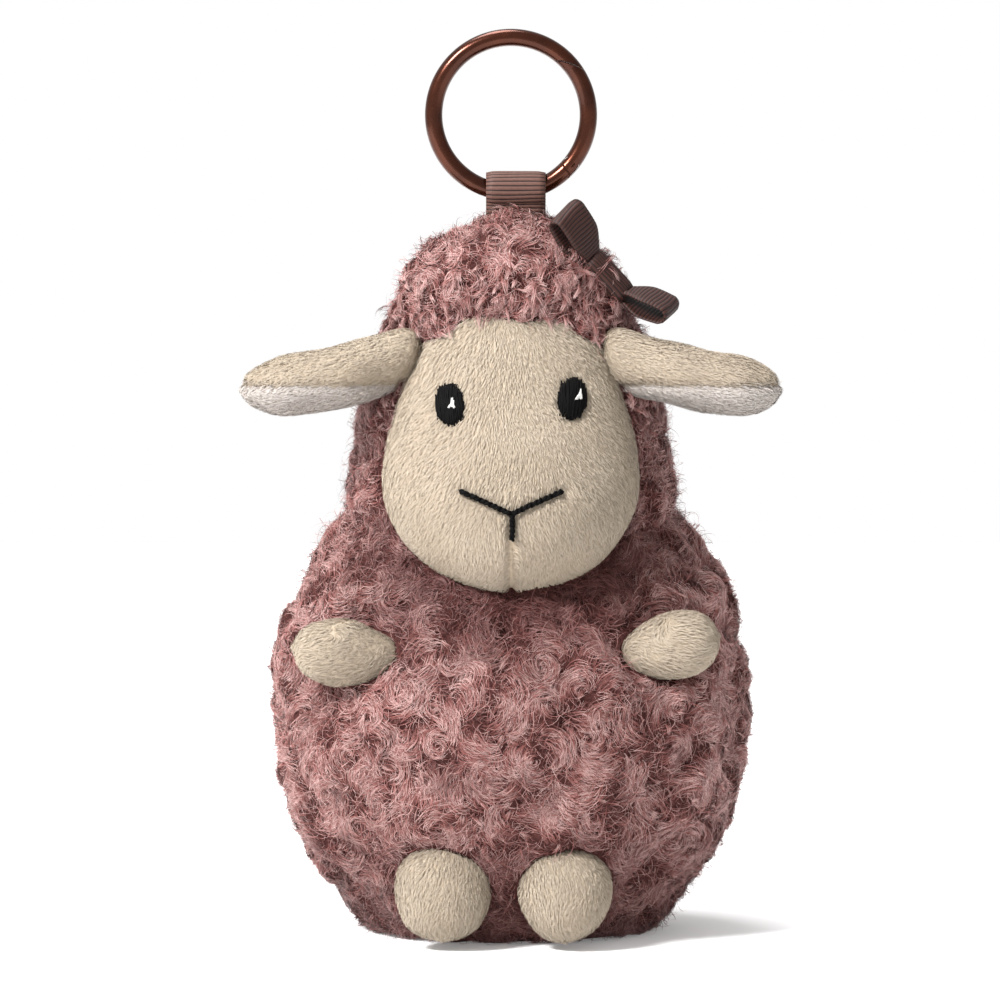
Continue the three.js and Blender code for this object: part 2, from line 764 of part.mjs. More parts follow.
const sheep = new THREE.Group();
sheep.add(
  ...bodyPieces(),
  ...headPieces(),
  ...embroidery(),
  ...earPieces("left", -1),
  ...earPieces("right", 1),
  ...armPieces("left_arm", -1, leftArmTilt, leftArmLength),
  ...armPieces("right_arm", 1, rightArmTilt, rightArmLength),
  ...footPieces("left_foot", -1),
  ...footPieces("right_foot", 1),
  hangingLoop(),
  ringPieces(),
  bowPieces(),
);

export default sheep;
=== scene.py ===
# A small plush sheep that hangs on a bag: curly pile, a short-pile face, ears, arms and feet, a ribbon
# bow, and a ribbon loop that carries a round ring with a sprung gate.
# Lengths are in millimetres unless a name says otherwise, and mesh_piece() turns them into metres.
# +Z is up and the sheep looks along -Y.
import math
from functools import partial

import bmesh
import bpy
import numpy as np
from mathutils import Matrix, Vector
from mathutils.bvhtree import BVHTree
from mathutils.kdtree import KDTree


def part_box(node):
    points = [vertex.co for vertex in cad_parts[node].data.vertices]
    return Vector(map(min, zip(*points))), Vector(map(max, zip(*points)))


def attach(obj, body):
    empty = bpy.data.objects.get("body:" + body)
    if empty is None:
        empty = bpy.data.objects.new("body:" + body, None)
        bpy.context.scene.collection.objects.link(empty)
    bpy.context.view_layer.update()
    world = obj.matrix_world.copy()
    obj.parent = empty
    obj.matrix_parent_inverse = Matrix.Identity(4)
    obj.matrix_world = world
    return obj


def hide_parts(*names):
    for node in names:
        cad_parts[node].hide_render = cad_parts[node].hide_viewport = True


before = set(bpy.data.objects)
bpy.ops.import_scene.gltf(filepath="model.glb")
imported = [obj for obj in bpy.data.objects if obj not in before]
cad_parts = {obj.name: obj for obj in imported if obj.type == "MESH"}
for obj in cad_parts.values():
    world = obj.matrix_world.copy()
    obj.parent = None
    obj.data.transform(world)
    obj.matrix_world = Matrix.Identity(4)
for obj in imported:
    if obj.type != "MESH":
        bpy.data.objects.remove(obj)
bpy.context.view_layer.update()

MM = 0.001
DEG = math.pi / 180
rng = np.random.default_rng(7)

# The photograph: its scale, and the pixel of the point on the floor under the middle of the body
photo_pixels = 1000
photo_pixels_per_mm = 6.0
photo_foot_x = 511
photo_foot_y = 930
view_height_angle = 5 * DEG
view_distance = 1500
view_reach_m = 100
sensor_width = 36


def node_box(node):
    """A CAD node's lowest and highest corner in millimetres."""
    low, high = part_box(node)
    return np.array(low) / MM, np.array(high) / MM


def make_camera():
    middle_x = (photo_pixels / 2 - photo_foot_x) / photo_pixels_per_mm
    middle_up = (photo_foot_y - photo_pixels / 2) / photo_pixels_per_mm
    target = Vector((middle_x, 0, middle_up / math.cos(view_height_angle)))
    away = Vector((0, -math.cos(view_height_angle), math.sin(view_height_angle)))
    camera = bpy.data.objects.new("camera", bpy.data.cameras.new("camera"))
    camera.data.sensor_width = sensor_width
    camera.data.lens = sensor_width * view_distance / (photo_pixels / photo_pixels_per_mm)
    camera.data.clip_end = view_reach_m
    camera.location = (target + away * view_distance) * MM
    camera.rotation_euler = (math.pi / 2 - view_height_angle, 0, 0)
    bpy.context.scene.collection.objects.link(camera)
    bpy.context.scene.camera = camera


make_camera()

# Sizes of the soft forms, the same as or close to those that the solids were made with
body_height = node_box("body_cover")[1][2]
body_half_width = 39
body_half_depth = 32.6
body_lean_back = 5.8
body_lean_start = 30
body_slim_share = 0.14
head_top = node_box("head_cap")[1][2]
head_height = 59.3
head_half_width = 27.5
head_half_depth = 23
head_set_back = 1
face_height = 49.6
face_drop = 2.7
face_half_width = 21.3
face_half_depth = 20
face_forward = 11.5
face_lean_share = 0.3
face_fullest_share = 0.385
ear_length = 30.6
ear_half_height = 5.4
ear_half_depth = 7.6
ear_root_inside = 5
ear_root_spread = 19.54
ear_forward = 10.5
ear_below_crown = 21.6
ear_droop = 6.2
ear_seam_below_root = 5.4
arm_lengths = {"left": 19, "right": 17.3}
arm_radius = 5.7
arm_height = 48
arm_root_inside = 1.6
arm_root_spread = 19.2
arm_bed = 1.2
arm_tilts = {"left": 5 * DEG, "right": 14 * DEG}
foot_length = 17.2
foot_half_width = 8
foot_half_depth = 7.4
foot_spread = 10
foot_middle = -1.2
foot_forward = 25.6
foot_lift = 1.2
foot_tilt = 20 * DEG
sides = {"left": -1, "right": 1}

# Outlines, from bottom to top or root to tip: share of the height, share of the half width
body_shares = [
    (0, 0.615), (0.05, 0.71), (0.11, 0.79), (0.17, 0.852), (0.26, 0.93), (0.37, 0.985), (0.48, 1),
    (0.59, 0.993), (0.68, 0.955), (0.76, 0.895), (0.84, 0.83), (0.91, 0.755), (0.955, 0.63), (0.985, 0.4),
    (1, 0),
]
head_shares = [
    (0, 0), (0.02, 0.48), (0.06, 0.79), (0.12, 0.93), (0.2, 0.97), (0.3, 0.96), (0.42, 0.94), (0.53, 0.895),
    (0.63, 0.82), (0.73, 0.73), (0.81, 0.655), (0.89, 0.53), (0.95, 0.355), (0.985, 0.175), (1, 0),
]
face_shares = [
    (0, 0), (0.03, 0.36), (0.09, 0.62), (0.18, 0.84), (0.28, 0.965), (0.385, 1), (0.51, 0.975),
    (0.62, 0.92), (0.75, 0.85), (0.86, 0.75), (0.945, 0.56), (1, 0),
]
ear_shares = [
    (0, 0), (0.03, 0.66), (0.1, 0.92), (0.2, 1), (0.4, 1.02), (0.6, 1), (0.78, 0.93), (0.92, 0.66),
    (0.98, 0.36), (1, 0),
]
arm_shares = [(0, 0), (0.05, 0.42), (0.18, 0.7), (0.38, 0.92), (0.6, 1), (0.8, 0.88), (0.93, 0.58), (1, 0)]
foot_shares = [(0, 0), (0.06, 0.5), (0.2, 0.86), (0.4, 1), (0.6, 0.97), (0.8, 0.78), (0.93, 0.47), (1, 0)]


# Geometry in arrays

def unit(vectors):
    return vectors / np.maximum(np.linalg.norm(vectors, axis=-1, keepdims=True), 1e-9)


def dot(a, b):
    return (a * b).sum(axis=-1, keepdims=True)


def smooth(value, low, high):
    share = np.clip((value - low) / (high - low), 0, 1)
    return share * share * (3 - 2 * share)


def spline(marks, count):
    """Points of a smooth curve through the marks, evenly spaced in mark number."""
    marks = np.asarray(marks, float)
    last = len(marks) - 1
    place = np.linspace(0, last, count)
    i = np.minimum(place.astype(int), last - 1)
    t = (place - i)[:, None]
    before, here, there, after = (marks[np.clip(i + step, 0, last)] for step in (-1, 0, 1, 2))
    leave, arrive = (there - before) / 2, (after - here) / 2
    return (
        (2 * here - 2 * there + leave + arrive) * t**3
        + (-3 * here + 3 * there - 2 * leave - arrive) * t**2
        + leave * t
        + here
    )


def evenly(line, count):
    """A line's points moved so that they lie evenly along it."""
    steps = np.linalg.norm(np.diff(line, axis=0), axis=1)
    along = np.concatenate([[0], np.cumsum(steps)])
    places = np.linspace(0, along[-1], count)
    return np.stack([np.interp(places, along, line[:, k]) for k in range(line.shape[1])], axis=1)


def ripple(points, size, seed, waves=6):
    """Smooth noise between -1 and 1 with bumps of about the given size."""
    own = np.random.default_rng(seed)
    total = 0
    for _ in range(waves):
        direction = unit(own.normal(size=3)) * 2 * math.pi / (size * own.uniform(1.2, 2.6))
        total = total + np.sin(points @ direction + own.uniform(0, 2 * math.pi))
    return total / math.sqrt(waves) * 0.7


def closed_faces(rows, around):
    """Faces for rows of points that close on themselves and then a point at each end: walls and caps."""
    first = np.arange(around)
    second = (first + 1) % around
    one_row = np.stack([first, second, second + around, first + around], axis=-1)
    walls = np.arange(rows - 1)[:, None, None] * around + one_row
    low_end = np.full(around, rows * around)
    top = low_end - around
    caps = np.concatenate([
        np.stack([low_end, second, first], axis=1),
        np.stack([low_end + 1, top + first, top + second], axis=1),
    ])
    return [walls.reshape(-1, 4), caps]


def triangles_of(faces):
    parts = []
    for group in faces:
        parts.append(group[:, :3])
        if group.shape[1] == 4:
            parts.append(group[:, [0, 2, 3]])
    return np.concatenate(parts)


def normals_of(points, triangles):
    """Outward normals at the points of a mesh."""
    a, b, c = (points[triangles[:, k]] for k in range(3))
    across = np.cross(b - a, c - a)
    normals = np.zeros_like(points)
    for k in range(3):
        np.add.at(normals, triangles[:, k], across)
    return unit(normals)


def scatter(points, faces, per_square_mm):
    """Random places on a mesh, even by area, with their normals."""
    triangles = triangles_of(faces)
    normals = normals_of(points, triangles)
    a, b, c = (points[triangles[:, k]] for k in range(3))
    areas = np.linalg.norm(np.cross(b - a, c - a), axis=1) / 2
    count = int(areas.sum() * per_square_mm)
    chosen = rng.choice(len(triangles), count, p=areas / areas.sum())
    u, v = rng.random(count), rng.random(count)
    over = u + v > 1
    u[over], v[over] = 1 - u[over], 1 - v[over]
    weights = np.stack([1 - u - v, u, v], axis=1)[:, :, None]
    corners = triangles[chosen]
    return (points[corners] * weights).sum(axis=1), unit((normals[corners] * weights).sum(axis=1))


def tree_of(points):
    tree = KDTree(len(points))
    for i, point in enumerate(points):
        tree.insert(point, i)
    tree.balance()
    return tree


def thin_out(points, gap):
    """The numbers of places that lie at least a gap apart, taken in order."""
    tree = tree_of(points)
    open_ones = np.ones(len(points), bool)
    kept = []
    for i, point in enumerate(points):
        if open_ones[i]:
            kept.append(i)
            for _, j, _ in tree.find_range(point, gap):
                open_ones[j] = False
    return np.array(kept)


def nearest(tree, points):
    """The number of the tree's point that lies nearest to each point."""
    return np.array([tree.find(point)[1] for point in points])


def leaders_among(points, gap):
    """Points at least a gap apart that lead the others, and for each point the number of its leader."""
    leaders = thin_out(points, gap)
    return leaders, nearest(tree_of(points[leaders]), points)


def bell(value, width, middle=0.0):
    """One at the middle, and falling to nothing over about twice the width."""
    return np.exp(-(((value - middle) / width) ** 2))


# Soft forms

outline_points = 160


def straight(z):
    return 0 * z, 0 * z, 1 + 0 * z


class Form:
    """A soft form: an outline turned about its own Z, pressed to its depth, bent row by row, and placed.

    bend(z) gives how far a row moves along X and Y, and the share of its depth that it keeps.
    """

    def __init__(self, shares, half_width, half_depth, height, bottom=0.0, bend=straight, place=np.eye(4),
                 flat_foot=False):
        self.shares = shares
        self.half_width = half_width
        self.half_depth = half_depth
        self.height = height
        self.bottom = bottom
        self.bend = bend
        self.place = np.array(place)
        self.flat_foot = flat_foot

    def outline(self, grow=0.0):
        marks = [
            (out * self.half_width + grow if out else 0, up * (self.height + 2 * grow) - grow)
            for up, out in self.shares
        ]
        line = spline(marks, outline_points)
        line[:, 0] = np.maximum(line[:, 0], 0)
        line[-1, 0] = 0
        if self.flat_foot:
            return np.concatenate([[[0, line[0, 1]]], line])
        line[0, 0] = 0
        return line

    def depth_share(self, grow):
        return (self.half_depth + grow) / (self.half_width + grow)

    def to_world(self, local):
        return local @ self.place[:3, :3].T + self.place[:3, 3]

    def unbent(self, points, grow):
        """Where points lie in the form's own frame, with its bend and its pressing taken back."""
        local = (points - self.place[:3, 3]) @ self.place[:3, :3]
        z = local[..., 2]
        aside, ahead, slim = self.bend(z)
        return local[..., 0] - aside, (local[..., 1] - ahead) / (self.depth_share(grow) * slim), z

    def surface(self, grow, rows, around):
        """The closed surface: points, walls and caps, and the outward normals."""
        line = evenly(self.outline(grow), rows)
        line[:, 1] += self.bottom
        angles = np.linspace(0, 2 * math.pi, around, endpoint=False)
        radius, z = line[1:-1, 0][:, None], line[1:-1, 1][:, None] + 0 * angles
        aside, ahead, slim = self.bend(z)
        x = radius * np.cos(angles) + aside
        y = radius * np.sin(angles) * self.depth_share(grow) * slim + ahead
        tips = line[[0, -1], 1]
        aside, ahead, _ = self.bend(tips)
        ends = np.stack([aside, ahead, tips], axis=1)
        points = self.to_world(np.concatenate([np.stack([x, y, z], axis=-1).reshape(-1, 3), ends]))
        faces = closed_faces(rows - 2, around)
        return points, faces, normals_of(points, triangles_of(faces))

    def holds(self, points, grow=0.0):
        """Which points lie inside the form grown by a distance."""
        line = self.outline(grow)
        x, y, z = self.unbent(points, grow)
        heights = np.maximum.accumulate(line[:, 1])
        return np.hypot(x, y) < np.interp(z - self.bottom, heights, line[:, 0], left=0, right=0)

    def front(self, x, z):
        """The front surface at a place seen from the front."""
        line = self.outline()
        width = np.interp(z - self.bottom, np.maximum.accumulate(line[:, 1]), line[:, 0])
        _, ahead, slim = self.bend(z)
        depth = width * self.half_depth / self.half_width * slim
        return ahead - depth * np.sqrt(np.maximum(0, 1 - (x / width) ** 2))

    def front_normal(self, x, z):
        step = 0.2
        along_x = (self.front(x + step, z) - self.front(x - step, z)) / (2 * step)
        along_z = (self.front(x, z + step) - self.front(x, z - step)) / (2 * step)
        return unit(np.stack([along_x, -1 + 0 * along_x, along_z], axis=-1))

    def middle(self):
        z = self.bottom + self.height / 2
        return self.to_world(np.array([0, self.bend(np.array(z))[1], z]))

    def spot(self, points, grow, rows, around):
        """The row and the column of the form's mesh that lie towards the points."""
        line = evenly(self.outline(grow), rows)
        half_way = self.height / 2
        x, y, z = self.unbent(points, grow)
        rise = math.pi - np.arctan2(np.hypot(x, y), z - self.bottom - half_way)
        marks = math.pi - np.arctan2(line[:, 0], line[:, 1] - half_way)
        row = np.interp(rise, np.maximum.accumulate(marks), np.arange(rows))
        return row, np.arctan2(y, x) % (2 * math.pi) / (2 * math.pi) * around


def body_bend(z):
    leaned = smooth(z, body_lean_start, body_height)
    return 0 * z, body_lean_back * leaned, 1 - body_slim_share * leaned


head_bottom = head_top - head_height
face_bottom = head_bottom - face_drop
face_fullest = face_bottom + face_fullest_share * face_height


def face_bend(z):
    return 0 * z, face_lean_share * (z - face_fullest) - face_forward, 1 + 0 * z


def head_bend(z):
    return 0 * z, head_set_back + 0 * z, 1 + 0 * z


def ear_bend(z):
    along = z / ear_length
    return -ear_droop * (1 - (1 - along) ** 2), 0 * z, 0.66 + 0.34 * smooth(along, 0.1, 0.5)


body_form = Form(body_shares, body_half_width, body_half_depth, body_height, 0, body_bend, flat_foot=True)
head_form = Form(head_shares, head_half_width, head_half_depth, head_height, head_bottom, head_bend)
face_form = Form(face_shares, face_half_width, face_half_depth, face_height, face_bottom, face_bend)


def ear_form(side):
    up, across, out = (0, 0, 1), (0, -side, 0), (side, 0, 0)
    place = np.eye(4)
    place[:3, :3] = np.array([up, across, out]).T
    place[:3, 3] = (side * (ear_root_spread - ear_root_inside), -ear_forward, head_top - ear_below_crown)
    return Form(ear_shares, ear_half_height, ear_half_depth, ear_length, bend=ear_bend, place=place)


def arm_form(name):
    side = sides[name]
    ahead = body_form.front(arm_root_spread, arm_height) + arm_bed
    root = Vector((side * arm_root_spread, ahead, arm_height))
    lie = Matrix.Rotation(side * (math.pi / 2 - arm_tilts[name]), 4, "Y")
    place = Matrix.Translation(root) @ lie @ Matrix.Translation((0, 0, -arm_root_inside))
    return Form(arm_shares, arm_radius, arm_radius, arm_lengths[name], place=place)


def foot_form(name):
    drop = foot_length / 2 * math.cos(foot_tilt)
    middle = Vector((foot_middle + sides[name] * foot_spread, -foot_forward, foot_lift + drop))
    lie = Matrix.Rotation(math.pi - foot_tilt, 4, "X")
    place = Matrix.Translation(middle) @ lie @ Matrix.Translation((0, 0, -foot_length / 2))
    return Form(foot_shares, foot_half_width, foot_half_depth, foot_length, place=place)


ear_forms = {name: ear_form(side) for name, side in sides.items()}
arm_forms = {name: arm_form(name) for name in sides}
foot_forms = {name: foot_form(name) for name in sides}


# Pieces

bake_map = "OFBake"


def mesh_piece(name, points, faces, look, uv=None):
    """A smooth mesh from points in millimetres and groups of faces with three or four corners."""
    corners = np.concatenate([group.ravel() for group in faces]).astype(np.int32)
    sizes = np.concatenate([np.full(len(group), group.shape[1]) for group in faces])
    mesh = bpy.data.meshes.new(name)
    mesh.vertices.add(len(points))
    mesh.vertices.foreach_set("co", (points * MM).astype(np.float32).ravel())
    mesh.loops.add(len(corners))
    mesh.loops.foreach_set("vertex_index", corners)
    mesh.polygons.add(len(sizes))
    mesh.polygons.foreach_set("loop_start", (np.cumsum(sizes) - sizes).astype(np.int32))
    mesh.update(calc_edges=True)
    mesh.shade_smooth()
    if uv is not None:
        layer = mesh.uv_layers.new(name=bake_map)
        layer.uv.foreach_set("vector", uv.astype(np.float32).ravel())
    mesh.materials.append(look)
    piece = bpy.data.objects.new(name, mesh)
    bpy.context.scene.collection.objects.link(piece)
    return piece


def dress(piece, body, slot, *nodes):
    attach(piece, body)
    if nodes:
        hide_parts(*nodes)


def padded_skin(name, points, faces, look, body, slot, nodes):
    skin = mesh_piece(name, points, faces, look)
    dress(skin, body, slot, *nodes)


def tubes(paths, radii, around):
    """Closed round tubes along many paths with equal numbers of points: points and faces."""
    strands, count, _ = paths.shape
    tangent = unit(np.gradient(paths, axis=1))
    start = np.cross(tangent[:, :1], np.array([0.31, 0.93, 0.2]))
    side = unit(start - dot(start, tangent) * tangent)
    other = np.cross(tangent, side)
    angles = np.linspace(0, 2 * math.pi, around, endpoint=False)
    ring = side[:, :, None] * np.cos(angles)[:, None] + other[:, :, None] * np.sin(angles)[:, None]
    points = paths[:, :, None] + ring * np.asarray(radii)[..., None, None]
    points = np.concatenate([points.reshape(strands, -1, 3), paths[:, [0, -1]]], axis=1)
    starts = np.arange(strands)[:, None, None] * points.shape[1]
    faces = [(starts + group).reshape(-1, group.shape[1]) for group in closed_faces(count, around)]
    return points.reshape(-1, 3), faces


# Looks

tone_cells = 16


def feed(tree, node, **sockets):
    """Gives sockets of a node a value, or a link from another node. Low lines stand for spaces."""
    for name, value in sockets.items():
        socket = node.inputs[name.replace("_", " ")]
        if isinstance(value, bpy.types.NodeSocket):
            tree.links.new(value, socket)
        else:
            socket.default_value = value
    return node


def add(tree, kind, **sockets):
    return feed(tree, tree.nodes.new("ShaderNode" + kind), **sockets)


def new_look(name, **sockets):
    """A material with one shader: the material, its node tree and the shader."""
    look = bpy.data.materials.new(name)
    look.use_nodes = True
    tree = look.node_tree
    return look, tree, feed(tree, tree.nodes["Principled BSDF"], **sockets)


def ramp(tree, source, *stops):
    """Colours between stops, each a place from 0 to 1 and its colour."""
    node = add(tree, "ValToRGB", Fac=source)
    elements = node.color_ramp.elements
    while len(elements) < len(stops):
        elements.new(0.5)
    for element, (place, colour) in zip(elements, stops):
        element.position = place
        element.color = (*colour, 1)
    return node.outputs["Color"]


def multiply(tree, first, second):
    node = tree.nodes.new("ShaderNodeMix")
    node.data_type = "RGBA"
    node.blend_type = "MULTIPLY"
    return feed(tree, node, Factor=1, A=first, B=second).outputs["Result"]


def calculate(tree, operation, source, by=0.5):
    """A sum done on a number: by is its second number, where the operation takes two."""
    node = tree.nodes.new("ShaderNodeMath")
    node.operation = operation
    node.inputs[1].default_value = by
    tree.links.new(source, node.inputs[0])
    return node.outputs[0]


def noise(tree, scale, detail=3.0):
    """Noise fixed to the object, whose scale is in bumps to a metre."""
    place = add(tree, "TexCoord").outputs["Object"]
    return add(tree, "TexNoise", Scale=scale, Detail=detail, Vector=place).outputs["Fac"]


def map_axes(tree):
    """Both axes of the map that hairs and ribbons carry."""
    place = tree.nodes.new("ShaderNodeUVMap")
    place.uv_map = bake_map
    split = add(tree, "SeparateXYZ", Vector=place.outputs["UV"])
    return split.outputs["X"], split.outputs["Y"]


def hair_look(name, root, middle, tip, dark, roughness, sheen):
    """Hair whose colour changes from root to tip, and from hair to hair by the tone cell of its map."""
    look, tree, shader = new_look(
        name, Roughness=roughness, Sheen_Weight=sheen, Sheen_Roughness=0.5, Sheen_Tint=(*tip, 1),
        Specular_IOR_Level=0.25,
    )
    across, along = map_axes(tree)
    colour = ramp(tree, along, (0.0, root), (0.45, middle), (1.0, tip))
    # A low tone darkens a hair towards the dark colour; for the wool it carries painted shade as well as
    # random tone
    tone = ramp(tree, calculate(tree, "SNAP", across, 1 / tone_cells), (0.0, dark), (1.0, (1, 1, 1)))
    feed(tree, shader, Base_Color=multiply(tree, colour, tone))
    return look


def backing_look(name, low, high, bump):
    """The knitted backing that the hairs grow from."""
    look, tree, shader = new_look(name, Roughness=0.9, Specular_IOR_Level=0.1)
    knit = add(tree, "Bump", Distance=bump * MM, Height=noise(tree, 2600))
    colour = ramp(tree, noise(tree, 900), (0.3, low), (0.7, high))
    feed(tree, shader, Base_Color=colour, Normal=knit.outputs["Normal"])
    return look


def thread_look(name, low, high, roughness):
    look, tree, shader = new_look(name, Roughness=roughness, Specular_IOR_Level=0.06)
    feed(tree, shader, Base_Color=ramp(tree, noise(tree, 4000), (0.35, low), (0.7, high)))
    return look


def ribbon_look(name, groove, crest, ribs):
    """Grosgrain: its map runs along the ribbon, so the grooves between the ribs can be painted darker, as
    painted shade.
    """
    look, tree, shader = new_look(name, Roughness=0.6, Specular_IOR_Level=0.25)
    _, along = map_axes(tree)
    wave = calculate(tree, "SINE", calculate(tree, "MULTIPLY", along, math.pi * ribs))
    colour = ramp(tree, calculate(tree, "ABSOLUTE", wave), (0.22, groove), (0.62, crest))
    shade = ramp(tree, noise(tree, 1500), (0.3, (0.82, 0.8, 0.8)), (0.7, (1, 1, 1)))
    feed(tree, shader, Base_Color=multiply(tree, colour, shade))
    return look


def metal_look(name, low, high, metallic, roughness):
    look, tree, shader = new_look(name, Metallic=metallic, Coat_Weight=0.12, Coat_Roughness=0.1)
    worn = noise(tree, 1800, 5.0)
    wear = add(tree, "MapRange", Value=worn, To_Min=roughness - 0.05, To_Max=roughness + 0.07)
    colour = ramp(tree, noise(tree, 260), (0.35, low), (0.7, high))
    feed(tree, shader, Base_Color=colour, Roughness=wear.outputs["Result"])
    return look


# The wool's roots are far darker than its tips: partly the wool's own colour, partly painted shade deep in
# the pile
wool_hair = hair_look(
    "wool_hair", root=(0.068, 0.014, 0.012), middle=(0.226, 0.077, 0.067), tip=(0.6, 0.41, 0.385),
    dark=(0.25, 0.16, 0.155), roughness=0.55, sheen=0.2,
)
cream_hair = hair_look(
    "cream_hair", root=(0.31, 0.252, 0.186), middle=(0.345, 0.287, 0.222), tip=(0.385, 0.332, 0.268),
    dark=(0.9, 0.88, 0.85), roughness=0.75, sheen=0.05,
)
white_hair = hair_look(
    "white_hair", root=(0.3, 0.265, 0.235), middle=(0.4, 0.365, 0.337), tip=(0.47, 0.437, 0.413),
    dark=(0.88, 0.86, 0.85), roughness=0.75, sheen=0.05,
)
# The wool's backing is much darker than the wool: painted shade where it shows between the curls
wool_backing = backing_look("wool_backing", (0.03, 0.009, 0.008), (0.075, 0.027, 0.024), bump=0.6)
cream_backing = backing_look("cream_backing", (0.3, 0.24, 0.175), (0.36, 0.3, 0.23), bump=0.15)
white_backing = backing_look("white_backing", (0.31, 0.27, 0.24), (0.4, 0.36, 0.33), bump=0.2)
black_thread = thread_look("black_thread", (0.001, 0.001, 0.001), (0.0025, 0.002, 0.002), 0.7)
white_thread = thread_look("white_thread", (0.38, 0.37, 0.35), (0.55, 0.54, 0.52), 0.5)
brown_metal = metal_look("brown_metal", (0.034, 0.0073, 0.0022), (0.056, 0.013, 0.0043), 0.8, 0.22)
spring_steel = metal_look("spring_steel", (0.45, 0.44, 0.43), (0.6, 0.6, 0.6), 1.0, 0.3)


# Hairs

hair_faces_in_a_piece = 94000
hair_root_share = 0.8
hair_tip_share = 0.25
most_tone = 0.999
solid_search = 5.0


def hair_pieces(name, paths, outward, widths, tones, look, body, slot, roll):
    """Hairs as thin ribbons, in pieces that stay small enough to be kept whole.

    paths and outward are (hairs, points, 3), widths (hairs, points), and tones are from 0 to 1.
    """
    strands, count, _ = paths.shape
    tangent = unit(np.gradient(paths, axis=1))
    side = unit(np.cross(tangent, outward))
    lift = np.cross(side, tangent)
    turn = (rng.random((strands, 1, 1)) - 0.5) * 2 * roll
    side = side * np.cos(turn) + lift * np.sin(turn)
    half = side * widths[..., None] / 2
    points = np.stack([paths - half, paths + half], axis=2)
    cell = np.clip((tones * tone_cells).astype(int), 0, tone_cells - 1)
    edges = np.stack([cell + 0.2, cell + 0.8], axis=1) / tone_cells
    heights = np.linspace(0.02, 0.98, count)
    rungs = np.stack([heights[:-1], heights[:-1], heights[1:], heights[1:]], axis=1)
    step = np.arange(count - 1)
    corners = np.stack([step * 2, step * 2 + 1, step * 2 + 3, step * 2 + 2], axis=1)
    each = hair_faces_in_a_piece // (count - 1)
    for part, first in enumerate(range(0, strands, each)):
        own = points[first:first + each]
        number = len(own)
        faces = (np.arange(number)[:, None, None] * count * 2 + corners).reshape(-1, 4)
        u = np.broadcast_to(edges[first:first + each][:, None, [0, 1, 1, 0]], (number, count - 1, 4))
        uv = np.stack([u, np.broadcast_to(rungs, u.shape)], axis=-1)
        piece = mesh_piece(f"{name}_{part + 1}", own.reshape(-1, 3), [faces], look, uv)
        dress(piece, body, slot)


def taper(strands, count, width):
    """Widths along each hair: full at the middle, thin at the tip."""
    place = np.linspace(0, 1, count)
    shape = np.minimum(hair_root_share + 3 * place, 1) * (1 - (1 - hair_tip_share) * place**3)
    return shape * width * rng.uniform(0.75, 1.25, (strands, 1))


def solid_depth(node, points, normals):
    """How far below the points the surface of a CAD solid lies, along their normals."""
    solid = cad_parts[node]
    corners = [solid.matrix_world @ vertex.co for vertex in solid.data.vertices]
    tree = BVHTree.FromPolygons(corners, [tuple(face.vertices) for face in solid.data.polygons])
    depths = []
    for point, normal in zip(points, normals):
        start = Vector((point + solid_search * normal) * MM)
        distance = tree.ray_cast(start, Vector(-normal), 4 * solid_search * MM)[3]
        depths.append(0.0 if distance is None else distance / MM - solid_search)
    return np.array(depths)


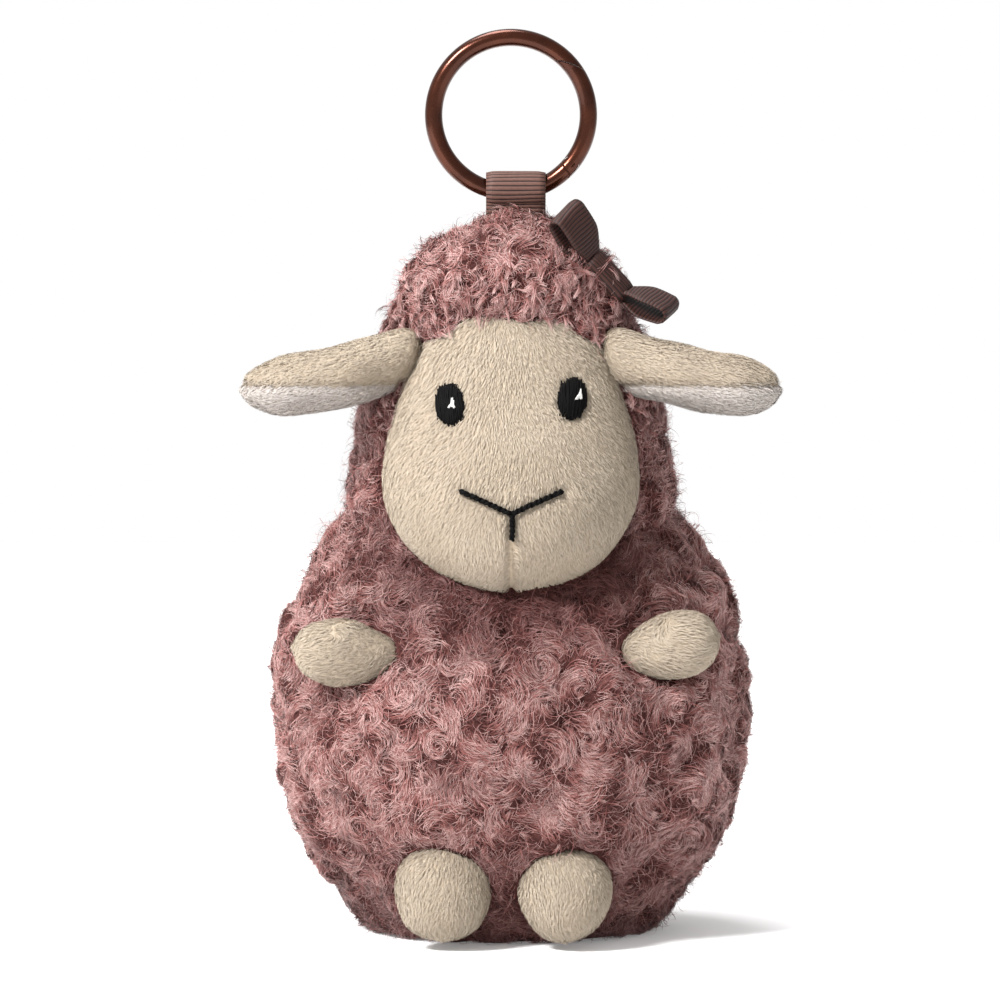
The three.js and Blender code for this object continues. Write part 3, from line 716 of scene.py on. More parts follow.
class Coat:
    """A curly pile on a form. Curls stand on it as hills, and hairs wind round points beside their tops.

    Where the CAD solid has its own knobs, the coat goes up and down with them.
    """

    hills_at_a_place = 6
    least_winding_radius = 0.45
    most_winding = 2.4
    curl_root_depth = 0.35
    crimp = (0.05, 0.3)
    crimp_pitch = (3.0, 6.0)
    curl_disorder = 0.07
    underlayer_lift = 0.02
    underlayer_arch = 0.3
    wisp_root_depth = 0.2
    wisp_spread = 0.38
    wisp_disorder = 0.09
    stray_root_depth = 0.1

    def __init__(self, form, inset, gap, height, detail, fuller, solid):
        self.form = form
        self.inset = inset
        self.rows, self.around = detail
        self.points, self.faces, normals = form.surface(-inset, *detail)
        places, place_normals = scatter(self.points, self.faces, 9 / gap**2)
        kept = thin_out(places, 0.85 * gap)
        self.centres, self.normals = places[kept], place_normals[kept]
        number = len(kept)
        comb = rng.normal(size=(number, 3)) + [0, 0, -0.4]
        self.along = unit(comb - dot(comb, self.normals) * self.normals)
        self.across = np.cross(self.normals, self.along)
        self.height = height * rng.uniform(0.5, 1.35, number) * fuller(self.centres)
        self.radius = gap * rng.uniform(0.7, 1.2, number)
        self.stretch = rng.uniform(1, 1.8, number)
        self.sense = np.where(rng.random(number) < 0.5, -1.0, 1.0)
        self.tone = rng.random(number)
        swing = rng.uniform(0, 2 * math.pi, number)
        aside = self.radius * rng.uniform(0.35, 1.25, number)
        self.eyes = (
            self.centres
            + self.along * (aside * np.cos(swing))[:, None]
            + self.across * (aside * np.sin(swing))[:, None]
        )
        self.tree = tree_of(self.centres)

        rise = self.hills() + 0.1 * ripple(self.points, 1.7, 81) * height
        knobs = 0 * rise
        if solid:
            outer = self.points + inset * normals
            knobs = np.minimum(self.softened(-solid_depth(solid, outer, normals)), 0)
        self.raised = self.points + normals * (rise + knobs)[:, None]
        self.chart = self.grid(np.concatenate([self.raised, normals, (rise / height)[:, None]], axis=1))

    def hills(self):
        """How high the curls stand at the mesh's points."""
        found = [self.tree.find_n(point, self.hills_at_a_place) for point in self.points]
        few = np.array([[one[1] for one in some] for some in found])
        offset = self.points[:, None] - self.centres[few]
        a = (offset * self.along[few]).sum(axis=-1) / (self.radius * self.stretch)[few]
        b = (offset * self.across[few]).sum(axis=-1) / self.radius[few]
        each = self.height[few] * np.maximum(0, 1 - a**2 - b**2) ** 0.55
        return (each**5).sum(axis=1) ** 0.2

    def softened(self, values):
        """Values at the mesh's points, evened out a little over their neighbours."""
        inner = values[:-2].reshape(self.rows - 2, self.around)
        for _ in range(6):
            rows = np.pad(inner, ((1, 1), (0, 0)), mode="edge")
            inner = (rows[:-2] + 2 * inner + rows[2:]) / 4
            inner = (np.roll(inner, 1, axis=1) + 2 * inner + np.roll(inner, -1, axis=1)) / 4
        return np.concatenate([inner.ravel(), values[-2:]])

    def grid(self, values):
        """Values at the mesh's points as rows and columns, with each pole as a whole row."""
        inner = values[:-2].reshape(self.rows - 2, self.around, -1)
        low, high = (np.broadcast_to(end, inner[:1].shape) for end in values[-2:])
        return np.concatenate([low, inner, high])

    def settle(self, points, layer):
        """Points brought to a layer above the coat, the outward direction, and the hill's height there."""
        row, column = self.form.spot(points, -self.inset, self.rows, self.around)
        i = np.minimum(row.astype(int), self.rows - 2)
        j = column.astype(int) % self.around
        up, aside = (row - i)[..., None], (column - np.floor(column))[..., None]
        beside = (j + 1) % self.around
        low = self.chart[i, j] * (1 - aside) + self.chart[i, beside] * aside
        high = self.chart[i + 1, j] * (1 - aside) + self.chart[i + 1, beside] * aside
        there = low * (1 - up) + high * up
        outward = unit(there[..., 3:6])
        return there[..., :3] + outward * np.asarray(layer)[..., None], outward, there[..., 6]

    def curls(self, density, count, depth, reach, clump):
        """The coat's own hairs. They wind round the eye of their curl and draw together into locks."""
        roots, _ = scatter(self.points, self.faces, density)
        own = nearest(self.tree, roots)
        strands = len(roots)
        offset = roots - self.eyes[own]
        a, b = dot(offset, self.along[own]), dot(offset, self.across[own])
        radius, angle = np.hypot(a, b), np.arctan2(b, a)
        t = np.linspace(0, 1, count)[None]
        length = reach * rng.uniform(0.55, 1.25, (strands, 1))
        turns = np.minimum(length / np.maximum(radius, self.least_winding_radius), self.most_winding)
        wound = angle + self.sense[own][:, None] * turns * t
        drawn = radius * (1 - rng.uniform(0.0, 0.5, (strands, 1)) * t)
        flat = (
            self.eyes[own][:, None]
            + self.along[own][:, None] * (drawn * np.cos(wound))[..., None]
            + self.across[own][:, None] * (drawn * np.sin(wound))[..., None]
        )
        top = depth * rng.random((strands, 1)) ** 1.4
        lifted = rng.exponential(0.28, (strands, 1)) * depth * t**3
        layer = top * smooth(t, 0, 0.4) - self.curl_root_depth * (1 - smooth(t, 0, 0.25)) + lifted
        paths, outward, hill = self.settle(flat, layer)
        # Painted light and shade: hairs on the tops of the hills get a lighter tone, hairs low between them
        # a darker one
        tones = 0.62 * smooth(hill[:, count // 2], 0.05, 1.0)
        tones = tones + 0.15 * self.tone[own] + 0.25 * rng.random(strands)
        return self.locked(roots, paths, outward, clump, t, length), outward, tones

    def locked(self, roots, paths, outward, clump, t, length):
        """Neighbouring hairs drawn together towards a leader, with its crimp."""
        leaders, leader = leaders_among(roots, clump)
        number, strands = len(leaders), len(roots)
        pull = rng.uniform(0.05, 0.6, (strands, 1)) * t
        paths = paths + (paths[leaders][leader] - paths) * pull[..., None]
        phase = rng.uniform(0, 2 * math.pi, number)[leader][:, None]
        pitch = rng.uniform(*self.crimp_pitch, number)[leader][:, None]
        size = rng.uniform(*self.crimp, number)[leader][:, None] * smooth(t, 0, 0.3)
        side = np.cross(unit(np.gradient(paths, axis=1)), outward)
        wave = phase + 2 * math.pi * length * t / pitch
        paths = paths + side * (size * np.sin(wave))[..., None]
        paths = paths + outward * (0.6 * size * np.cos(wave))[..., None]
        return paths + rng.normal(size=(strands, 1, 3)) * self.curl_disorder * t[..., None]

    def lying(self, density, count, layer, length, length_shares, most_bend):
        """Hairs of every direction that lie along the coat as arcs."""
        roots, _ = scatter(self.points, self.faces, density)
        strands = len(roots)
        start, outward, _ = self.settle(roots, layer)
        way = unit(np.cross(outward, rng.normal(size=(strands, 3))))
        side = np.cross(outward, way)
        t = np.linspace(0, 1, count)[None]
        size = length * rng.uniform(*length_shares, (strands, 1))
        bend = rng.uniform(-most_bend, most_bend, (strands, 1))
        paths = (
            start[:, None]
            + way[:, None] * (size * np.sin(bend * t) / bend)[..., None]
            + side[:, None] * (size * (1 - np.cos(bend * t)) / bend)[..., None]
        )
        return paths, np.broadcast_to(outward[:, None], paths.shape), t

    def underlayer(self, density, count, length):
        """Short hairs close to the backing, darkened by low tones as painted shade deep in the pile."""
        paths, outward, t = self.lying(density, count, self.underlayer_lift, length, (0.6, 1.4), 2.4)
        climb = self.underlayer_arch * rng.random((len(paths), 1)) * np.sin(math.pi * t)
        return paths + outward * climb[..., None], outward, 0.45 * rng.random(len(paths))

    def strays(self, density, count, length, rise):
        """Single thin hairs that arch over the coat."""
        paths, outward, t = self.lying(density, count, -self.stray_root_depth, length, (0.4, 1.3), 2.6)
        each = (len(paths), 1)
        climb = rise * rng.uniform(0.2, 1.3, each) ** 1.5
        climb = climb * np.sin(math.pi * t * rng.uniform(0.45, 1, each))
        return paths + outward * climb[..., None], outward, rng.uniform(0.65, most_tone, len(paths))

    def wisps(self, share, count, hairs, length, lean=(0, 0, -0.15), where_on=None):
        """Small pointed ends of curls that stand off the coat and hook over, the way they lean."""
        among = np.arange(len(self.centres)) if where_on is None else np.flatnonzero(where_on(self.centres))
        number = int(len(among) * share)
        own = np.repeat(rng.choice(among, number, replace=share > 1), hairs)
        lead = np.arange(number).repeat(hairs)
        strands = len(own)
        along, across = self.along[own], self.across[own]
        where = rng.uniform(-0.7, 0.7, (number, 2))[lead] * self.radius[own][:, None]
        spread = rng.normal(size=(strands, 2)) * self.wisp_spread
        middle = self.centres[own] + along * where[:, :1] + across * where[:, 1:]
        base = middle + along * spread[:, :1] + across * spread[:, 1:]
        start, outward, _ = self.settle(base, -self.wisp_root_depth)
        centre, _, _ = self.settle(middle, -self.wisp_root_depth)
        way = unit(rng.normal(size=(number, 3)) + lean)[lead]
        way = unit(way - dot(way, outward) * outward)
        t = np.linspace(0, 1, count)[None]
        size = (length * rng.uniform(0.5, 1.2, number))[lead][:, None]
        size = size * rng.uniform(0.75, 1.1, (strands, 1))
        bend = rng.uniform(1.7, 3.6, number)[lead][:, None]
        rise = size * np.sin(bend * t) / bend
        drift = size * (1 - np.cos(bend * t)) / bend
        paths = (
            centre[:, None]
            + (start - centre)[:, None] * (1 - 0.72 * t)[..., None]
            + outward[:, None] * rise[..., None]
            + way[:, None] * drift[..., None]
            + rng.normal(size=(strands, 1, 3)) * self.wisp_disorder * t[..., None]
        )
        tones = 0.4 + 0.3 * self.tone[own] + 0.35 * rng.random(strands)
        return paths, np.broadcast_to((outward + way)[:, None], paths.shape), tones


def bounced(paths, forms):
    """Hairs turned back from forms that they would enter, and which of them then keep out."""
    paths = paths.copy()
    free = np.ones(len(paths), bool)
    for form, grow in forms:
        inside = form.holds(paths, grow).any(axis=1)
        hairs = paths[inside]
        toward = unit(form.middle() - hairs[:, :1])
        paths[inside] = hairs - 1.6 * np.maximum(0, dot(hairs - hairs[:, :1], toward)) * toward
        free &= ~form.holds(paths, grow).any(axis=1)
    return paths, free


# Painted shade: the wool's tone is darkened under the chin, over the belly and near the floor
chin_shade_reaches = (2, 4, 6, 9, 12)
chin_shade_top = 13
chin_shade_fade = 8
belly_shade_half_width = 20
belly_shade_top = 70
floor_shade_low = 2
floor_shade_high = 24
floor_clearance = 0.15


def painted_shade_depth(points):
    """How deep the places lie in the painted shade, from 0 to 1."""
    x, y, z = points.T
    chin = sum(face_form.holds(points, grow).astype(float) for grow in chin_shade_reaches)
    below = smooth(face_bottom + chin_shade_top - z, 0, chin_shade_fade)
    chin = 1.1 * chin / len(chin_shade_reaches) * below
    floor = 0.5 * (1 - smooth(z, floor_shade_low, floor_shade_high))
    belly = 0.2 * bell(x, belly_shade_half_width) * (y < 0) * (z < belly_shade_top)
    return np.clip(chin + floor + belly, 0, 1)


def curly_pile(name, form, inset, gap, height, forms, density, width, nodes, detail, fuller, wisp, stray,
               clump, solid=None, tufts=()):
    """A curly coat on a form: its backing, its curls, their pointed ends and the stray hairs."""
    coat = Coat(form, inset, gap, height, detail, fuller, solid)
    raised = coat.raised.copy()
    raised[:, 2] = np.maximum(raised[:, 2], floor_clearance)
    backing = mesh_piece(f"{name}_backing", raised, coat.faces, wool_backing)
    dress(backing, "root", "curly_pile", *nodes)
    kinds = [
        ("underlayer", coat.underlayer(2.6, 5, 1.6), width),
        ("curls", coat.curls(density, 9, 0.6, 1.15 * gap, clump), width),
        ("wisps", coat.wisps(wisp[0], 7, *wisp[1:]), 0.85 * width),
        ("strays", coat.strays(stray[0], 9, *stray[1:]), 0.65 * width),
    ]
    for kind, share, *shape in tufts:
        kinds.append((kind, coat.wisps(share, 8, *shape), 0.8 * width))
    for kind, (paths, outward, tones), own_width in kinds:
        paths, free = bounced(paths, forms)
        paths, outward, tones = paths[free], outward[free], np.clip(tones[free], 0, most_tone)
        # Painted shade: each hair's tone is darkened by how deep its root lies in the painted shade
        tones = tones * (1 - painted_shade_depth(paths[:, 0]))
        paths[..., 2] = np.maximum(paths[..., 2], floor_clearance)
        widths = taper(len(paths), paths.shape[1], own_width)
        hair_pieces(
            f"{name}_{kind}", paths, outward, widths, tones, wool_hair, "root", "curly_pile", roll=0.35
        )


def near_any(points, forms, gap):
    """Which points lie within a gap of any of the forms."""
    return np.any([form.holds(points, gap) for form in forms.values()], axis=0)


def fuller_body(points):
    """The wool is short where the sheep stands and round the roots of its arms and feet."""
    z = points[:, 2]
    by_arms = near_any(points, arm_forms, gap=3.5)
    by_feet = near_any(points, foot_forms, gap=2.5)
    chest = 0.3 * bell(z, 8, middle=46)
    shoulders = 0.4 * bell(z, 6, middle=64)
    return (1 + chest - shoulders) * (0.2 + 0.8 * smooth(z, 0, 16)) * np.where(by_arms | by_feet, 0.45, 1)


def fuller_head(points):
    """The wool bulges over the neck, and is short where it meets the forehead and the cheeks."""
    z = points[:, 2]
    neck = bell(z, 4, middle=73)
    crown = smooth(z, 104, 113)
    by_face = face_form.holds(points, 1.5) & (z < face_bottom + 0.86 * face_height)
    by_ears = near_any(points, ear_forms, gap=2.5)
    return (0.6 + 0.65 * crown + 0.55 * neck) * np.where(by_face | by_ears, 0.35, 1)


# The ribbons: where they lie, which the wool round them needs to know, and their sizes
loop_aside = 0.8
loop_width = 10
loop_foot_radius = 8.5
bow_side = 14.8
bow_below_crown = 9.7
bow_bed = 1.1
bow_facing = np.array([0.62, -0.62, 0.48])
bow_fall = np.array([0.65, 0.12, -0.75])
bow_ribbon_width = 7
bow_loop_length = {"upper": 10, "lower": 9}
bow_loop_height = 3.1
bow_loop_lift = {"upper": 15 * DEG, "lower": 34 * DEG}
bow_loop_twist = {"upper": 10 * DEG, "lower": -15 * DEG}
bow_loop_tuck = 0.6
bow_neck_width = 3.4
bow_neck_thickness = 1.6
bow_wrap_reach = {"upper": 3.5, "lower": 4.9}


def bow_place():
    facing = unit(bow_facing)
    along = unit(bow_fall - dot(bow_fall, facing) * facing)
    across = np.cross(facing, along)
    z = head_top - bow_below_crown
    seat = np.array([bow_side, head_form.front(bow_side, z), z]) + bow_bed * facing
    return np.stack([along, across, facing], axis=1), seat


def by_bow(points, half_length, low, high):
    """Which places on the head lie beside the bow, between two distances across it."""
    axes, seat = bow_place()
    along, across, out = ((points - seat) @ axes).T
    return (np.abs(along) < half_length) & (across > low) & (across < high) & (out < 3)


def behind_bow(points):
    return by_bow(points, 5.5, 2.2, 7)


def before_bow(points):
    return by_bow(points, 3.5, -5, -2)


def hairline(points):
    """Which places on the head lie just above the forehead."""
    return face_form.holds(points, 4.5) & (points[:, 2] > head_top - 30) & (points[:, 1] < 0)


def loop_foot(points):
    """Which places on the crown lie round the foot of the hanging loop."""
    return np.hypot(points[:, 0] - loop_aside, points[:, 1] * 1.3) < loop_foot_radius


# A wisp is given by its share of the curls, its hairs and its length, a stray hair by its number to a
# square millimetre, its length and its rise, and a tuft as a wisp with the way it leans and its place
curly_pile(
    "body_wool", body_form, inset=1.0, gap=4.4, height=2.6, density=6.4, width=0.115, clump=0.75,
    forms=[(face_form, -0.3), *[(form, 0.0) for form in (*arm_forms.values(), *foot_forms.values())]],
    nodes=["body_cover", "body_stuffing"], detail=(190, 360), fuller=fuller_body, wisp=(1.7, 10, 2.8),
    stray=(0.8, 4.6, 1.6), solid="body_cover",
)
curly_pile(
    "head_wool", head_form, inset=1.4, gap=3.1, height=1.9, density=6.8, width=0.105, clump=0.65,
    forms=[(face_form, -0.4), *[(form, -0.6) for form in ear_forms.values()]],
    nodes=["head_cap", "head_stuffing"], detail=(150, 280), fuller=fuller_head, wisp=(1.6, 9, 2.2),
    stray=(1.1, 4.0, 1.4),
    tufts=[
        ("fringe", 6, 12, 4.2, (0, -0.9, -1.8), hairline),
        ("tuft", 4, 8, 3.4, (0, -0.3, 1.2), loop_foot),
        ("puff", 9, 12, 3.7, (0.7, 0.2, 0.9), behind_bow),
        ("whisker", 8, 5, 6.2, (0.7, 0.3, 0.7), before_bow),
    ],
)


# Short pile

nap_density = 18.0
nap_length = 1.1
nap_rise = 0.28
nap_width = 0.1
nap_clump = 0.7
nap_root_depth = 0.05
skin_depth = 0.5
face_skin_depth = 0.45
nap_into_head = 1.2
face_nap_into_body = 1.5
limb_nap_into_body = 2.0


def nap(name, points, faces, flow, look, body, slot, keep_out):
    """Short straight pile that lies over along a flow, drawn together into small points."""
    roots, normals = scatter(points, faces, nap_density)
    for form, depth in keep_out:
        free = ~form.holds(roots, -depth)
        roots, normals = roots[free], normals[free]
    direction = flow(roots, normals)
    direction = unit(direction - dot(direction, normals) * normals)
    strands = len(roots)
    size = nap_length * rng.uniform(0.7, 1.2, (strands, 1))
    rise = nap_rise * rng.uniform(0.6, 1.4, (strands, 1))
    tips = roots + size * unit(direction + rise * normals)
    leaders, leader = leaders_among(roots, nap_clump)
    gathered = tips[leaders][leader]
    patchy = smooth(ripple(roots, 8, 5), -0.5, 0.9)[:, None]
    pull = rng.uniform(0.03, 0.2, (strands, 1)) * (1 + 1.3 * patchy)
    tips = tips * (1 - pull) + (gathered + 0.25 * (tips - gathered)) * pull
    middles = (roots + tips) / 2 + normals * (0.16 * size)
    paths = np.stack([roots - nap_root_depth * normals, middles, tips], axis=1)
    outward = np.broadcast_to(unit(normals + 0.4 * direction)[:, None], paths.shape)
    tones = np.clip(0.5 + 0.25 * ripple(roots, 6, 3) + 0.5 * (rng.random(strands) - 0.5), 0, most_tone)
    hair_pieces(name, paths, outward, taper(strands, 3, nap_width), tones, look, body, slot, roll=0.5)


mouth_height = face_fullest - 0.7
mouth_half_width = 8.5
mouth_dip = 3.3
mouth_low = mouth_height - mouth_dip
mouth_stem = 4.4
mouth_end_raise = 0.35
mouth_dent_depth = 0.55
mouth_dent_width = 1.1
chin_seam_depth = 0.6
chin_seam_width = 0.75
eye_spread = 10.2
eye_height = face_fullest + 13.3
right_eye_raise = 1.0
eye_half_width = 2.4
eye_half_height = 3.3
eye_dent_depth = 0.45
ear_seam = head_top - ear_below_crown - ear_seam_below_root
ear_seam_depth = 0.5
ear_seam_width = 0.7
ear_puff = 0.25
face_dents_depth = 0.18
limb_dents_depth = 0.22
split_nearness = 1e-4


def mouth_line(x):
    """The height of the mouth's thread at a distance from the middle."""
    share = np.clip(np.abs(x) / mouth_half_width, 0, 1)
    return mouth_height - mouth_dip * (1 - share) ** 1.25 + mouth_end_raise * share**5


def face_dented(points, normals):
    """The face's skin, drawn in where its stitches are."""
    x, z = points[:, 0], points[:, 2]
    beyond = np.maximum(0, np.abs(x) - mouth_half_width)
    depth = mouth_dent_depth * bell(np.hypot(beyond, z - mouth_line(x)), mouth_dent_width)
    depth += chin_seam_depth * bell(x, chin_seam_width) * (z <= mouth_low)
    for side, raise_by in ((-1, 0), (1, right_eye_raise)):
        up = z - eye_height - raise_by
        off = np.hypot((x - side * eye_spread) / eye_half_width, up / eye_half_height)
        depth += eye_dent_depth * bell(np.maximum(off - 0.6, 0), 0.6)
    front = points[:, 1] < face_form.bend(z)[1]
    depth = depth * front + face_dents_depth * ripple(points, 9, 11)
    return points - normals * depth[:, None]


def face_flow(points, _):
    x, z = points[:, 0], points[:, 2]
    swirl = 0.35 * ripple(points, 10, 21)
    parted = 2.5 * np.sign(x) * smooth(mouth_low - z, 0, 2) * bell(x, 0.8)
    return np.stack([0.05 * x + swirl + parted, 0 * x, -1 + 0.25 * ripple(points, 7, 22)], axis=1)


def ear_flow(side, points, _):
    return np.array([side, -0.25, -0.35]) + 0.21 * rng.normal(size=points.shape)


def arm_flow(side, points, normals):
    swirl = 1.4 * np.cross(normals, [0, 1.0, 0]) * ripple(points, 3.2, 51)[:, None]
    return np.array([side, 0, -0.25]) + swirl


def foot_flow(side, points, normals):
    swirl = 0.5 * np.cross(normals, [0, 0, 1.0]) * ripple(points, 4, 61)[:, None]
    return np.array([0.15 * side, 0, -1]) + swirl


def make_face():
    points, faces, normals = face_form.surface(-face_skin_depth, 150, 260)
    points = face_dented(points, normals)
    padded_skin("face_backing", points, faces, cream_backing, "root", "cream_velboa", ["face_cover"])
    keep_out = [(head_form, nap_into_head), (body_form, face_nap_into_body)]
    nap("face_pile", points, faces, face_flow, cream_hair, "root", "cream_velboa", keep_out)


def split_at_seam(points, faces, height, above):
    """The part of a closed mesh on one side of a level, closed there again."""
    mesh = bpy.data.meshes.new("split")
    mesh.from_pydata(points.tolist(), [], [face.tolist() for group in faces for face in group])
    shape = bmesh.new()
    shape.from_mesh(mesh)
    cut = bmesh.ops.bisect_plane(
        shape, geom=shape.verts[:] + shape.edges[:] + shape.faces[:], dist=split_nearness,
        plane_co=(0, 0, height), plane_no=(0, 0, 1), clear_inner=above, clear_outer=not above,
    )
    edges = [part for part in cut["geom_cut"] if isinstance(part, bmesh.types.BMEdge)]
    bmesh.ops.holes_fill(shape, edges=edges, sides=0)
    bmesh.ops.triangulate(shape, faces=[face for face in shape.faces if len(face.verts) > 4])
    shape.to_mesh(mesh)
    shape.free()
    coordinates = np.array([vertex.co for vertex in mesh.vertices])
    groups = []
    for number in (3, 4):
        corners = [list(face.vertices) for face in mesh.polygons if len(face.vertices) == number]
        groups.append(np.array(corners, int).reshape(-1, number))
    bpy.data.meshes.remove(mesh)
    return coordinates, groups


def make_ear(name):
    side = sides[name]
    body = f"{name}_ear"
    points, faces, normals = ear_forms[name].surface(-skin_depth, 90, 96)
    pinch = ear_seam_depth * bell(points[:, 2], ear_seam_width, middle=ear_seam)
    puff = ear_puff * ripple(points, 6, 31 + side)
    points = points - normals * (pinch - puff)[:, None]
    parts = [
        ("outer", True, cream_backing, cream_hair, "cream_velboa"),
        ("lining", False, white_backing, white_hair, "white_velboa"),
    ]
    keep_out = [(head_form, nap_into_head)]
    flow = partial(ear_flow, side)
    for part, above, backing, hair, slot in parts:
        node = f"{body}_{part}"
        own, groups = split_at_seam(points, faces, ear_seam, above)
        padded_skin(f"{node}_backing", own, groups, backing, body, slot, [node])
        nap(f"{node}_pile", own, groups, flow, hair, body, slot, keep_out)


def make_limb(body, form, flow):
    points, faces, normals = form.surface(-skin_depth, 80, 110)
    points = points - normals * (limb_dents_depth * ripple(points, 5, 41))[:, None]
    points[:, 2] = np.maximum(points[:, 2], floor_clearance)
    nodes = [f"{body}_cover", f"{body}_stuffing"]
    padded_skin(f"{body}_backing", points, faces, cream_backing, body, "cream_velboa", nodes)
    keep_out = [(body_form, limb_nap_into_body)]
    nap(f"{body}_pile", points, faces, flow, cream_hair, body, "cream_velboa", keep_out)


make_face()
for name in sides:
    make_ear(name)
for name, side in sides.items():
    make_limb(f"{name}_arm", arm_forms[name], partial(arm_flow, side))
    make_limb(f"{name}_foot", foot_forms[name], partial(foot_flow, side))


# Embroidery

eye_threads = 76
eye_long_threads = [3, 4, 9, 30]
eye_thread_points = 14
eye_edge_depth = 0.55
eye_padding = 0.75
eye_layer = 0.14
eye_disorder = 0.03
shine_threads = 7
shine_lift = 0.42
shine_arch = 0.12
shine_thread_radius = 0.11
thread_radius = 0.15
mouth_thread_radius = 0.29
mouth_thread_pitch = 1.7
mouth_thread_lift = 0.1
mouth_stitch_depth = 0.55


def on_face(x, z, lift):
    """Points that stand a little way off the front of the face's pile."""
    x, z = np.broadcast_arrays(np.asarray(x, float), np.asarray(z, float))
    points = np.stack([x, face_form.front(x, z), z], axis=-1)
    return points + face_form.front_normal(x, z) * np.asarray(lift)[..., None]


def stitches(name, paths, radius, around, look, slot, node):
    points, faces = tubes(paths, np.full(paths.shape[:2], radius), around)
    dress(mesh_piece(name, points, faces, look), "root", slot, node)


def make_eye(name, side, raise_by):
    """Satin stitches over an oval, padded in the middle, and a white stitch for the shine."""
    middle_x, middle_z = side * eye_spread, eye_height + raise_by
    upper = eye_threads // 2
    lean = rng.normal(0, 0.3, eye_threads) + 0.15 * side
    start = np.tile(np.linspace(-1, 1, upper) * 0.97, 2)
    half = np.sqrt(1 - start**2) * eye_half_height * rng.uniform(0.84, 1.07, eye_threads)
    half[upper + np.array(eye_long_threads)] *= [1.5, 1.25, 1.12, 1.12]
    t = np.linspace(-1, 1, eye_thread_points)
    x = start[:, None] * eye_half_width + lean[:, None] * half[:, None] * t * 0.35
    z = half[:, None] * t
    round_it = np.clip(1 - (x / eye_half_width) ** 2 - (z / eye_half_height) ** 2, 0, 1)
    layer = (np.arange(eye_threads) >= upper) * eye_layer
    lift = eye_padding * np.sqrt(round_it) - eye_edge_depth + layer[:, None]
    lift = lift + rng.normal(0, eye_disorder, (eye_threads, 1))
    paths = on_face(middle_x + x, middle_z + z, lift)
    stitches(f"{name}_eye_stitches", paths, thread_radius, 6, black_thread, "black_thread", f"{name}_eye")

    t = np.linspace(0, 1, 8)
    share = np.linspace(0, 1, shine_threads)
    corner = np.array([middle_x + 0.25, middle_z - 0.45 + 0.15 * side])
    low = corner + np.stack([share * 1.1 - 0.2, rng.uniform(-0.2, 0.15, shine_threads)], axis=1)
    top = corner + np.stack([0.6 + 0.3 * (share - 0.5), 1.55 - 1.5 * np.abs(share - 0.65)], axis=1)
    top += rng.normal(0, 0.12, top.shape)
    x = low[:, :1] + (top - low)[:, :1] * t
    z = low[:, 1:] + (top - low)[:, 1:] * t
    paths = on_face(x, z, shine_lift + shine_arch * np.sin(math.pi * t) + 0 * x)
    node = f"{name}_eye_highlight"
    stitches(f"{name}_eye_shine", paths, shine_thread_radius, 6, white_thread, "white_thread", node)


def twisted(line, number):
    """Two threads twisted together along a line of a number of stitches, seen from the front."""
    line = evenly(line, 90)
    length = np.linalg.norm(np.diff(line, axis=0), axis=1).sum()
    along = np.linspace(0, length, len(line))
    direction = unit(np.gradient(line, axis=0))
    sewn = np.abs(np.cos(math.pi * number * along / length)) ** 5
    lift = mouth_thread_lift - mouth_stitch_depth * sewn
    reach = 0.75 * mouth_thread_radius
    paths = []
    for start in (0, math.pi):
        angle = 2 * math.pi * along / mouth_thread_pitch + start
        aside = reach * np.sin(angle)
        x = line[:, 0] - direction[:, 1] * aside
        z = line[:, 1] + direction[:, 0] * aside
        paths.append(on_face(x, z, lift + reach * np.cos(angle)))
    return paths


def make_mouth():
    foot = mouth_low - mouth_stem
    stem = np.array([(0.1, mouth_low + 0.2), (0.2, mouth_low - mouth_stem / 2), (0.1, foot)])
    paths = []
    for side in (-1, 1):
        x = side * np.linspace(mouth_half_width, 0, 30)
        paths += twisted(np.stack([x, mouth_line(x)], axis=1), 5)
    paths += twisted(stem, 2)
    paths = np.array(paths)
    stitches("mouth_thread", paths, mouth_thread_radius, 8, black_thread, "black_thread", "mouth_stitches")


make_eye("left", -1, 0)
make_eye("right", 1, right_eye_raise)
make_mouth()


# Ribbon

loop_thickness = 0.45
loop_rib = 0.7
loop_rib_height = 0.16
loop_edge = 0.1
loop_leave = 55 * DEG
loop_foot_half_gap = 0.35
loop_foot_depth = 1.6
bow_thickness = 0.4
bow_rib = 0.62
bow_rib_height = 0.12
bow_loop_inset = 0.25
bow_loop_swell = 0.5
bow_neck_inset = 0.3
bow_wrap_room = np.array([0.5, 0.55])
# The first colour of each, far darker, is painted shade in the grooves; the second is the ribbon on its
# ribs
loop_tones = ("loop_ribbon", (0.01, 0.0035, 0.0026), (0.095, 0.045, 0.034))
bow_tones = ("bow_ribbon", (0.004, 0.0012, 0.0009), (0.034, 0.0108, 0.0076))


